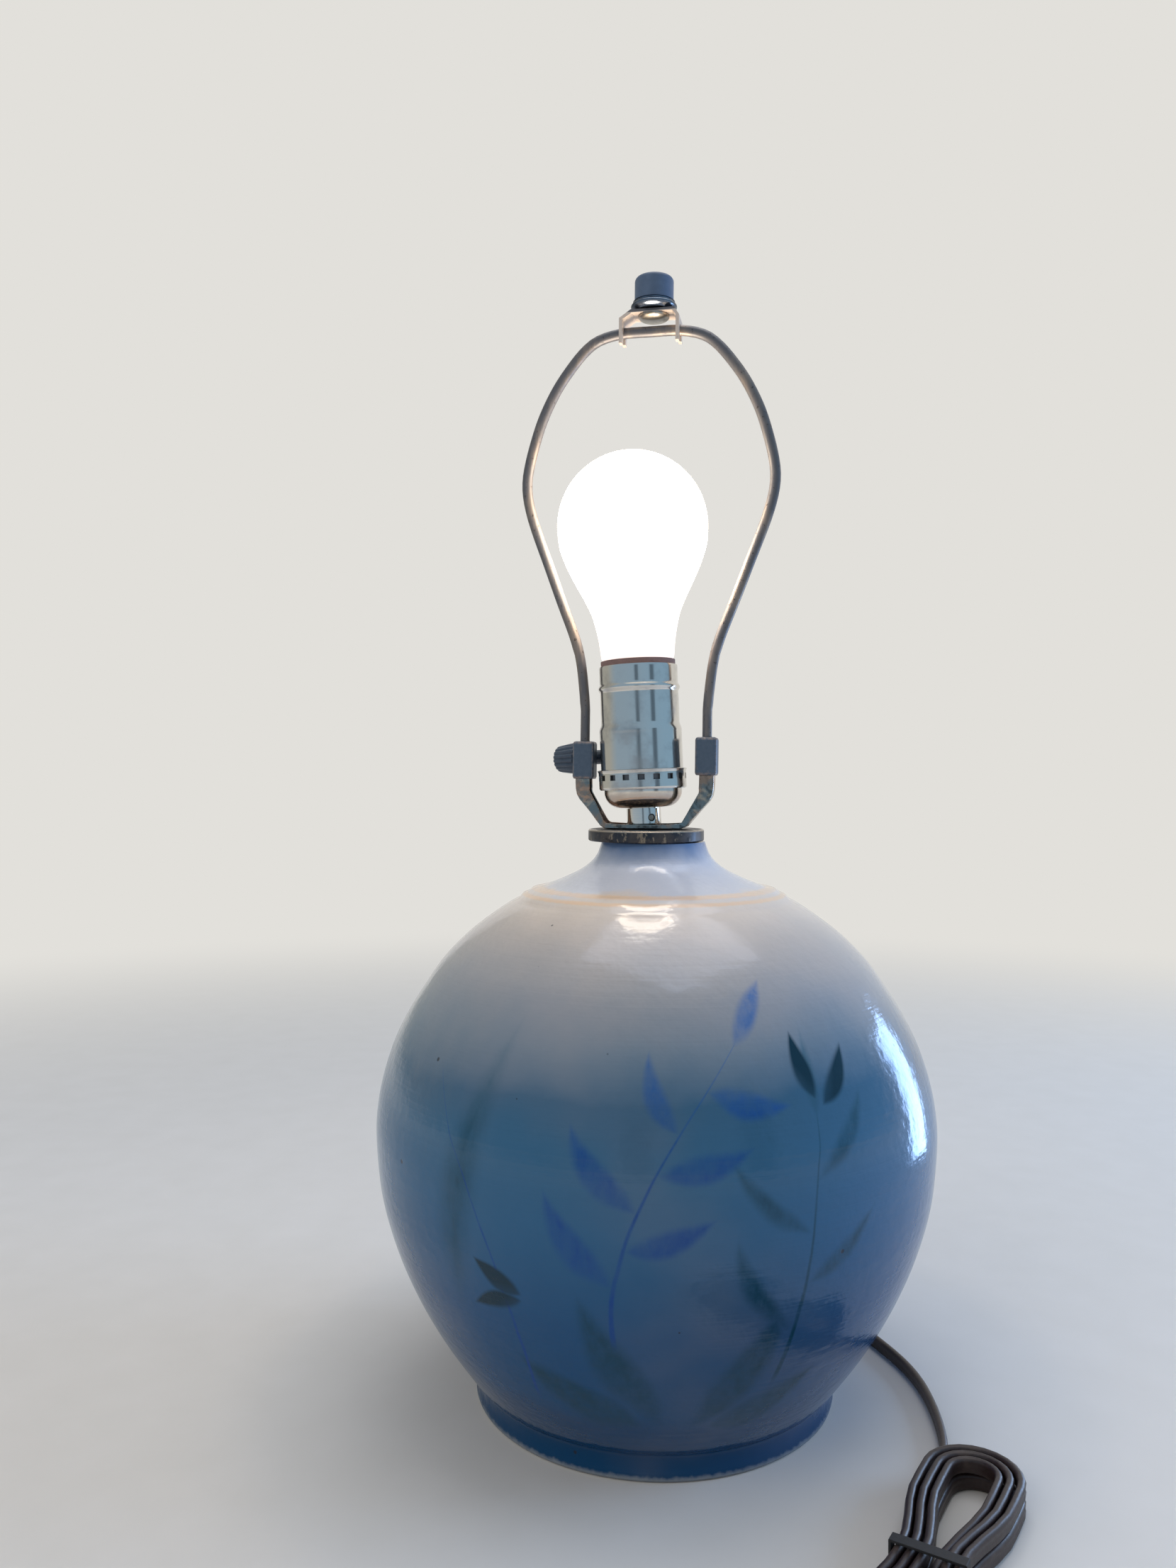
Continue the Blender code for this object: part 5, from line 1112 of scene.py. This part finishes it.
shell_line = [(SHELL_LOW_RADIUS, BAND_HIGH - SHELL_OVERLAP), (SHELL_LOW_RADIUS, STEP_LOW - STEP_EASE)]
for i in range(9):
    share = i / 8
    out = between(SHELL_LOW_RADIUS, SHELL_RADIUS, ease(share)) + STEP_SWELL * math.sin(math.pi * share)
    shell_line.append((out, STEP_LOW + STEP_HEIGHT * share))
shell_line += [(SHELL_RADIUS, STEP_LOW + STEP_HEIGHT + CURVE_EASE)]
shell_line += [(SHELL_RADIUS, BEAD - BEAD_HALF - CURVE_EASE)]
for i in range(13):
    share = i / 12
    out = SHELL_RADIUS + BEAD_DEPTH * math.sin(math.pi * share) ** 1.5
    shell_line.append((out, BEAD + BEAD_HALF * (2 * share - 1)))
shell_line += [(SHELL_RADIUS, BEAD + BEAD_HALF + CURVE_EASE), (SHELL_RADIUS, SHELL_TOP - RIM_EASES[0])]
shell_line += [(SHELL_RADIUS, SHELL_TOP - RIM_EASES[1]), (SHELL_RADIUS - RIM_EASES[2], SHELL_TOP)]
shell_section = thickened(shell_line, SHELL_SHEET)
shell = turned("socket_sheet", shell_section + shell_section[:1], 112, SOCKET)
liner_in = LINER_RADIUS - LINER_SHEET
liner_section = [(LINER_RADIUS, LINER_LOW), (LINER_RADIUS, LINER_TOP)]
liner_section += [(liner_in, LINER_TOP), (liner_in, LINER_LOW), (LINER_RADIUS, LINER_LOW)]
liner = turned("fibre_liner", liner_section, 96, SOCKET)
for piece in (shell, liner):
    drill_out(piece, SWITCH_BORE, SWITCH_TURN, SWITCH_HEIGHT, SWITCH_BORE_SPAN, SOCKET)
    only(piece)
    soften()
done(shell, "lamp", "nickel", "shell_nickel", "socket_shell")
done(liner, "lamp", "liner_fibre", "liner_fibre", "socket_liner")

# %% [markdown]
# ## The switch knob
# The knob is a short tapered cylinder with round flutes and a domed end. It is turned with six columns of
# vertices a flute, and the columns in each hollow are then drawn in towards the knob's axis.

# %% Knob
KNOB_START = 0.0292
KNOB_LENGTH = 0.0108
KNOB_RADIUS = 0.0066
KNOB_TAPER = 0.84
KNOB_FLUTES = 18
STEPS_A_FLUTE = 6
FLUTE_SQUEEZES = ((0, 0.915), (1, 0.955), (5, 0.955))
KNOB_FOOT = ((0.90, 0.0), (0.985, 0.0005), (1.0, 0.0013))
KNOB_WAIST = (0.45, 0.0055)
KNOB_FACE = ((1.0, 0.0012), (0.965, 0.0005), (0.88, 0.0001), (0.55, 0.0003), (0.0, 0.0004))
BORE = (0.0025, 0.0062)
SWITCH = SOCKET @ Matrix.Translation((0, 0, SWITCH_HEIGHT)) @ aimed(outward(SWITCH_TURN))

knob_end = KNOB_START + KNOB_LENGTH
tip = KNOB_RADIUS * KNOB_TAPER
knob_outline = [(0, KNOB_START + BORE[1]), (BORE[0], KNOB_START + BORE[1]), (BORE[0], KNOB_START)]
knob_outline += [(KNOB_RADIUS * share, KNOB_START + up) for share, up in KNOB_FOOT]
knob_outline += [(between(KNOB_RADIUS, tip, KNOB_WAIST[0]), KNOB_START + KNOB_WAIST[1])]
knob_outline += [(tip * share, knob_end - down) for share, down in KNOB_FACE]
knob = turned("fluted_knob", knob_outline, KNOB_FLUTES * STEPS_A_FLUTE)
for column, size in FLUTE_SQUEEZES:

    def in_column(point):
        turn = math.atan2(point.y, point.x) % math.tau
        outside = math.hypot(point.x, point.y) > KNOB_RADIUS * 0.60
        return outside and round(turn / (math.tau / (KNOB_FLUTES * STEPS_A_FLUTE))) % STEPS_A_FLUTE == column

    squeeze(knob, in_column, (size, size, 1), (0, 0, 0))
settle(knob, SWITCH)
soften(45)
done(knob, "switch", "black_plastic", "black_plastic", "switch_knob")

# %% [markdown]
# ## The bulb
# A frosted bulb glows evenly, a little less at its neck, where the glass is further from the filament.
# The envelope is a sphere that runs out into a cone and a straight neck. Its glow is a property of the
# glass and not a hidden lamp, so it lights the harp and the shoulder of the pot as the real one does.

# %% Envelope
BULB_RADIUS = 0.0300
BULB_TOP = 0.1487
BULB_NECK_RADIUS = 0.0145
BULB_NECK = 0.0662
THROAT = (0.0121, 0.0575)
THROAT_DROP = 0.0030
NECK_EASE = (0.0004, 0.0008)
CONE_SHARES = ((0.98, 0.90), (0.93, 0.82), (0.78, 0.70), (0.585, 0.575), (0.375, 0.455), (0.21, 0.345))
CONE_SHARES += ((0.115, 0.24), (0.045, 0.13), (0.0, 0.0))


def bulb_outline():
    ring = BULB_TOP - BULB_RADIUS
    turns = np.linspace(0, math.pi / 2, 20)
    line = [(BULB_RADIUS * math.sin(turn), ring + BULB_RADIUS * math.cos(turn)) for turn in turns]
    cone = [line[-2], (BULB_RADIUS, ring)]
    cone += corner_pairs(CONE_SHARES, BULB_NECK_RADIUS, BULB_RADIUS, BULB_NECK, ring)
    cone = curve_through(cone + [(BULB_NECK_RADIUS - NECK_EASE[0], BULB_NECK - NECK_EASE[1])], 44)
    line = line[:-2] + [tuple(p) for p in cone]
    return line + [(THROAT[0], BULB_NECK - THROAT_DROP), (THROAT[0], THROAT[1]), (0, THROAT[1])]


@finish
def frosted_glass(place):
    cloud = noise(place, 60, 3)
    glow = smooth(up_socket(place) + (cloud - 0.5) * 0.008, 0.066, 0.104)
    colour = mixed(glow, (206, 190, 186), (240, 236, 230))
    light = {"Emission Color": mixed(glow, (72, 68, 66), (255, 232, 204)), "Emission Strength": 15.0}
    return looks(colour, 0.38, bump(noise(place, 900, 2), 0.00004, 0.3)) | light


bulb = turned("frosted_bulb", bulb_outline(), 96, SOCKET, crease=60)
done(bulb, "bulb", "frosted_glass", "frosted_glass", "bulb_envelope")

# %% [markdown]
# ## The harp
# The harp is one wire bent to a pear shape, with its two legs pressed flatter where they enter the saddle.
# A curve gives the loop an even thickness, and once it is a mesh the legs are squeezed with a resize.

# %% Wire
HARP_FOOT_PLACE = Vector((PIPE_SHIFT, 0, 0.2199))
HARP_LEAN = math.radians(0.75)
HARP = Matrix.Translation(HARP_FOOT_PLACE) @ Matrix.Rotation(HARP_LEAN, 4, "Y")
WIRE = 0.0042
LEG_X = 0.0246
LEG_THICKNESS = 0.0038
LEG_WIDTH = 0.0040
LEG_FOOT = 0.0208
LEG_STRAIGHT = 0.0465
LEG_END = 0.070
LEG_SQUEEZES = ((0, LEG_STRAIGHT + MM, 1.0, LEG_X), (LEG_STRAIGHT + MM, LEG_END, 0.5, LEG_X * 1.04))
HALF_WIDTH = 0.050
HARP_HEIGHT = 0.1972
HARP_SHARES = ((0.504, 0.272), (0.534, 0.331), (0.586, 0.382), (0.70, 0.457), (0.812, 0.533), (0.925, 0.609))
HARP_SHARES += ((0.982, 0.659), (1.0, 0.698), (0.984, 0.736), (0.934, 0.787), (0.868, 0.837), (0.77, 0.888))
HARP_SHARES += ((0.665, 0.928), (0.54, 0.966), (0.42, 0.988), (0.24, 0.999), (0.0, 1.0))
HARP_POINTS = 130


def harp_points():
    arch = [(HALF_WIDTH * out, 0, HARP_HEIGHT * up) for out, up in HARP_SHARES]
    right = [(LEG_X, 0, LEG_STRAIGHT)] + arch
    left = [(-x, y, z) for x, y, z in right[:-1]]
    upper = curve_through(left + right[::-1], HARP_POINTS)
    legs = [between(LEG_FOOT, LEG_STRAIGHT, share) for share in (0.0, 0.02, 0.5)]
    start = [(-LEG_X, 0, z) for z in legs]
    return start + [tuple(p) for p in upper] + [(-x, y, z) for x, y, z in start[::-1]]


harp = tube_along("harp_wire", harp_points(), oval(WIRE / 2, WIRE / 2, 16), twist="MINIMUM")
flat = (LEG_THICKNESS / WIRE, LEG_WIDTH / WIRE, 1)
for side in (-1, 1):
    for low, high, share, centre in LEG_SQUEEZES:

        def on_leg(point):
            return point.x * side > 0 and low <= point.z < high

        value = tuple(between(1, size, share) for size in flat)
        squeeze(harp, on_leg, value, (side * centre, 0, LEG_STRAIGHT))
settle(harp, HARP)
soften(50)
done(harp, "harp", "harp_iron", "harp_wire", "harp_bow")

# %% [markdown]
# ## Bracket, stud and finial
# The shade would stand on the bracket and be held by the finial. The stud is riveted through the bracket.
# The finial is a plain lacquered cap that stands in a dark polished collar. All three are turned.

# %% Stud and finial
FINIAL_BASE = Vector((0.00018, 0, 0.41675))
FINIAL = Matrix.Translation(FINIAL_BASE) @ Matrix.Rotation(HARP_LEAN, 4, "Y")
PLATE_TOP = 0.0078
PLATE = 0.0013
STUD_RADIUS = 0.0031
STUD_LENGTH = 0.0108
HEAD_RADIUS = 0.0062
HEAD_HEIGHT = 0.0021
HEAD_RIM = 0.0002
HEAD_ROUND_SHARE = 0.9
STUD_TIP_SHARE = 0.8
STUD_EDGE = 0.0006
COLLAR_RADIUS = 0.0094
COLLAR_HEIGHT = 0.0037
COLLAR_FLOOR = 0.0010
COLLAR_FOOT = 0.0004
COLLAR_EDGE = 0.0002
COLLAR_SEAT_SHARE = 0.78
COLLAR_TURN_SHARES = (0.18, 0.70)
COLLAR_SWELL_SHARES = (0.62, 0.36)
CAP_RADIUS = 0.00775
CAP_HEIGHT = 0.0122
CAP_EDGE = 0.0019
CAP_FOOT_EDGE = 0.0002
CAP_BORE = 0.0108

head_top = PLATE_TOP - PLATE - GAP
stud_top = PLATE_TOP + STUD_LENGTH
stud_outline = [(0, head_top - HEAD_HEIGHT)]
for i in range(1, 8):
    angle = math.pi / 2 * i / 7
    height = head_top - HEAD_HEIGHT * math.cos(angle) * HEAD_ROUND_SHARE - HEAD_RIM
    stud_outline.append((HEAD_RADIUS * math.sin(angle), height))
stud_outline += [(HEAD_RADIUS, head_top), (STUD_RADIUS, head_top), (STUD_RADIUS, stud_top - STUD_EDGE)]
stud_outline += [(STUD_RADIUS * STUD_TIP_SHARE, stud_top), (0, stud_top)]
stud = turned("rivet_stud", stud_outline, 48, FINIAL)
done(stud, "bracket", "pipe_steel", "plain_steel", "bracket_stud")

seat = PLATE_TOP + GAP
bore = STUD_RADIUS + GAP
cup = CAP_RADIUS + GAP
collar_outline = [(bore, seat), (COLLAR_RADIUS * COLLAR_SEAT_SHARE, seat)]
for i in range(9):
    share = i / 8
    swell = math.sin(math.pi * (COLLAR_TURN_SHARES[0] + COLLAR_TURN_SHARES[1] * share))
    height = seat + COLLAR_FOOT + (COLLAR_HEIGHT - COLLAR_FOOT - COLLAR_EDGE) * share
    out = COLLAR_RADIUS * (COLLAR_SWELL_SHARES[0] + COLLAR_SWELL_SHARES[1] * swell)
    collar_outline.append((out, height))
collar_outline += [(cup + GAP, seat + COLLAR_HEIGHT), (cup, seat + COLLAR_HEIGHT - COLLAR_EDGE)]
collar_outline += [(cup, seat + COLLAR_FLOOR), (bore, seat + COLLAR_FLOOR), (bore, seat)]
collar = turned("finial_collar", collar_outline, 72, FINIAL)
done(collar, "finial", "skirt_metal", "skirt_metal", "finial_base")

low = seat + COLLAR_FLOOR + GAP
high = low + CAP_HEIGHT
cap_outline = [(0, low + CAP_BORE), (bore, low + CAP_BORE), (bore, low), (CAP_RADIUS - CAP_FOOT_EDGE, low)]
cap_outline += [(CAP_RADIUS, low + CAP_FOOT_EDGE)]
cap_outline += quarter((CAP_RADIUS - CAP_EDGE, high - CAP_EDGE), CAP_EDGE, 0, 8)
cap_outline += [(CAP_RADIUS * 0.4, high), (0, high)]
knob_cap = turned("finial_knob", cap_outline, 72, FINIAL)
done(knob_cap, "finial", "slate", "slate_lacquer", "finial_cap")

# %% [markdown]
# ## The CAD pieces that stay
# The saddle, the bracket, the sleeves and the parts inside the socket already have their right shapes.
# They keep their meshes and get a finish, and the ones in view get a small rounded edge that catches light.

# %% Sleeves, saddle, bracket and hidden parts
SLEEVE_HALF = (0.0043, 0.0042, 0.0076)
DRESSED = [
    ("saddle_steel", 0.0003, "harp_saddle"),
    ("bracket_plate", 0.0002, "harp_bracket"),
    ("sleeve_left_paint", 0.0005, "sleeve_left"),
    ("sleeve_right_paint", 0.0005, "sleeve_right"),
    ("threaded_steel", 0, "lamp_pipe"),
    ("plain_steel", 0.0003, "pipe_bottom_nut", "cap_set_screw"),
    ("plain_steel", 0.0002, "plug_blade_left", "plug_blade_right"),
    ("black_rubber", 0, "pipe_bottom_washer", "cord_grommet"),
    ("moulded_inside", 0, "socket_interior"),
    ("bright_brass", 0, "socket_screw_shell", "centre_contact", "terminal_screw_hot"),
    ("tin_plate", 0, "terminal_screw_neutral"),
    ("black_plastic", 0, "switch_shaft"),
    ("plug_rubber", 0, "plug_body"),
    ("black_rubber", 0.0003, "cord_tie"),
    ("rolled_aluminium", 0, "bulb_screw_base", "bulb_tip_contact"),
    ("base_glass", 0, "bulb_base_insulator"),
    ("filament_grey", 0, "bulb_filament"),
    ("clear_glass", 0, "bulb_stem"),
]


@finish
def clear_glass(place):
    colour = mixed(noise(place, 200, 2), (214, 222, 222), (236, 240, 240))
    return {"Base Color": colour, "Roughness": 0.08, "Alpha": 0.45}


for name in ("sleeve_left", "sleeve_right"):
    lo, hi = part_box(name)
    finish(rubbed_paint((lo + hi) / 2, SLEEVE_HALF, HARP_LEAN), name + "_paint")
for row in DRESSED:
    dress(*row)
print(f"{sum(len(names) for _, _, *names in DRESSED)} CAD pieces keep their meshes")

# %% [markdown]
# ## The lead inside the lamp
# From the bush in the foot a lead runs under the floor and up the pipe. It only shows from below. It is a
# round tube on a curve through a few given places.

# %% Inner lead
INNER_RADIUS = 0.0014
INNER_LOW = INNER_RADIUS + 2 * GAP
INNER_TOP = 0.0175
INNER_END = 0.0716
PIPE_LOW = 0.0058
ring_inner = FOOT_RADIUS - RING_WIDTH
run = [(0.0, PIPE_LOW * 2.2), (0.0004, PIPE_LOW * 1.4), (0.0013, PIPE_LOW * 0.8), (0.0034, INNER_LOW * 1.35)]
run += [(0.0070, INNER_LOW), (0.0200, INNER_LOW), (ring_inner * 0.45, INNER_LOW * 1.15)]
inner_points = [SOCKET @ Vector((0, 0, INNER_TOP)), SOCKET @ Vector((0, 0, HUB_HEIGHT * 1.5))]
inner_points += [Vector((PIPE_SHIFT, 0, RIM[1] * share)) for share in (0.95, 0.75, 0.5, 0.25)]
inner_points += [Vector((PIPE_SHIFT, 0, up)) + exit_way * out for out, up in run]
for reach in (ring_inner * 0.84, ring_inner * 0.93, ring_inner + 2 * MM, INNER_END):
    inner_points.append(exit_way * reach + exit_lift)
inner_line = [tuple(p) for p in curve_through(inner_points, 90)]
inner = tube_along("inner_wire", inner_line, oval(INNER_RADIUS, INNER_RADIUS, 12))
done(inner, "lamp", "black_rubber", "black_rubber", "inner_lead")

# %% [markdown]
# ## The room
# The lamp stands on a plain pale floor in soft light, with a cool window light from the right and a warm
# fill from the left. One narrow light lights nothing and only shows as the window's glint on the glaze.
# The floor fades into the same pale tone as the world, so no horizon shows.

# %% Floor, world and lights
PALE = srgb(226, 224, 219)
FADE = (0.45, 1.40)
FLOOR_SIZE = 12
FLOOR_DROP = 0.0001
MIDDLE = (0, 0, 0.2)
LIGHTS = [
    ("window", (1.45, 0.45, 0.45), MIDDLE, (0.9, 0.9), 17, (172, 208, 255), "glossy"),
    ("glint", (0.366, 0.225, 0.13), (0.085, -0.06, 0.12), (0.10, 0.24), 0.8, (170, 206, 255), "diffuse"),
    ("fill", (-0.9, -1.3, 1.1), MIDDLE, (1.4, 1.4), 9, (255, 246, 236), "glossy"),
    ("top", (0.1, 0.2, 1.7), MIDDLE, (1.2, 1.2), 8, (250, 250, 255), None),
]

bpy.ops.object.select_all(action="DESELECT")
bpy.ops.mesh.primitive_plane_add(size=FLOOR_SIZE, location=(0, 0, -FLOOR_DROP))
floor = bpy.context.object
floor.name = "floor"


@finish
def floor_tone(place):
    colour = mixed(noise(place, 40, 4), (222, 220, 215), (229, 227, 223))
    return {"Base Color": colour, "Roughness": 0.85, "Specular IOR Level": 0.0}


def seen_by(wire, *rays):
    """1 for the rays of these kinds, and 0 for the others."""
    total = 0.0
    for ray in rays:
        total = wire.node("LightPath", output=f"Is {ray} Ray") + total
    return total.math("MINIMUM", total, 1.0)


paint(floor, "floor_tone")
tree = FINISHES["floor_tone"].node_tree
wire = Wire(tree)
place = wire.node("TexCoord", output="Object")
reach = wire.node("VectorMath", {"operation": "LENGTH"}, {0: place}, output="Value")
share = smooth(reach, *FADE) * seen_by(wire, "Camera", "Glossy")
glow = wire.node("Emission", {}, {"Color": PALE, "Strength": 1.0})
painted = Wire(tree, tree.nodes["Principled BSDF"].outputs[0])
blend = wire.node("MixShader", {}, {0: share, 1: painted, 2: glow})
tree.links.new(blend.socket, tree.nodes["Material Output"].inputs["Surface"])

world = bpy.data.worlds.new("pale_room")
world.use_nodes = True
bpy.context.scene.world = world
sky = Wire(world.node_tree)
seen = seen_by(sky, "Camera", "Glossy", "Transmission")
lit = sky.node("Background", {}, {"Color": srgb(232, 238, 246), "Strength": 0.42})
shown = sky.node("Background", {}, {"Color": PALE, "Strength": 1.0})
room = sky.node("MixShader", {}, {0: seen, 1: lit, 2: shown})
world.node_tree.links.new(room.socket, world.node_tree.nodes["World Output"].inputs["Surface"])


def soft_light(name, place, target, size, power, colour, unseen):
    """A soft rectangle of light that one kind of ray, and the camera, doesn't meet."""
    bpy.ops.object.light_add(type="AREA", location=place)
    lamp = bpy.context.object
    lamp.name = name
    lamp.rotation_mode = "QUATERNION"
    lamp.rotation_quaternion = (Vector(target) - Vector(place)).to_track_quat("-Z", "Y")
    lamp.data.shape = "RECTANGLE"
    lamp.data.size, lamp.data.size_y = size
    lamp.data.energy = power
    lamp.data.color = srgb(*colour)[:3]
    lamp.visible_camera = False
    if unseen:
        setattr(lamp, "visible_" + unseen, False)


for light in LIGHTS:
    soft_light(*light)
print(f"{len(LIGHTS)} soft lights")

# %% [markdown]
# ## What the metal sees
# Polished metal shows the room, and in an even pale room it looks like grey plastic. A curved screen stands
# in front of the lamp, outside the picture, and only glossy rays meet it. It is a cool mid tone with two
# soft dark bars, which give the shell its upright streaks, and it fades into the pale room at its ends.

# %% The screen that only metal sees
SCREEN_MIDDLE = 8.8
SCREEN_REACH = (-150, 116)
SCREEN_RADIUS = 1.3
SCREEN_HEIGHT = (0.0, 2.2)
BARS = ((-6, 3.0, 7.0), (39, 4.0, 8.5))

bpy.ops.object.select_all(action="DESELECT")
middle_height = sum(SCREEN_HEIGHT) / 2
bpy.ops.mesh.primitive_cylinder_add(
    vertices=96,
    radius=SCREEN_RADIUS,
    depth=SCREEN_HEIGHT[1] - SCREEN_HEIGHT[0],
    end_fill_type="NOTHING",
    location=(0, 0, middle_height),
)
screen = bpy.context.object
screen.name = "room_screen"
settle(screen, screen.matrix_world.copy())


def behind(centre):
    turn = math.degrees(math.atan2(centre.x, -centre.y)) - SCREEN_MIDDLE
    return not SCREEN_REACH[0] < turn < SCREEN_REACH[1]


punch(screen, behind)


@finish
def screen_tone(place):
    x, y, height = axes(place)
    turn = x.math("ARCTAN2", x, y * -1.0) * math.degrees(1) - SCREEN_MIDDLE
    bars = 0.0
    for middle, narrow, wide in BARS:
        bars = larger(1 - smooth(abs(turn - middle), narrow, wide), bars)
    level = smooth(height, 0.02, 0.12) * (1 - smooth(height, 0.45, 0.80))
    tone = mixed(smooth(turn, -60, 90), (150, 172, 190), (142, 177, 204))
    tone = mixed(smooth(turn, -104, -66), (176, 176, 168), tone)
    tone = mixed(smooth(turn, 100, 112), tone, PALE)
    tone = mixed(smooth(height, 0.0, 0.20), PALE, tone)
    return {
        "Base Color": srgb(0, 0, 0),
        "Roughness": 1.0,
        "Specular IOR Level": 0.0,
        "Emission Color": mixed(bars * level * 0.75, tone, (50, 62, 76)),
        "Emission Strength": 1.0,
    }


paint(screen, "screen_tone")
for ray in ("camera", "diffuse", "transmission", "shadow"):
    setattr(screen, "visible_" + ray, False)

bpy.context.scene.view_settings.view_transform = "Standard"
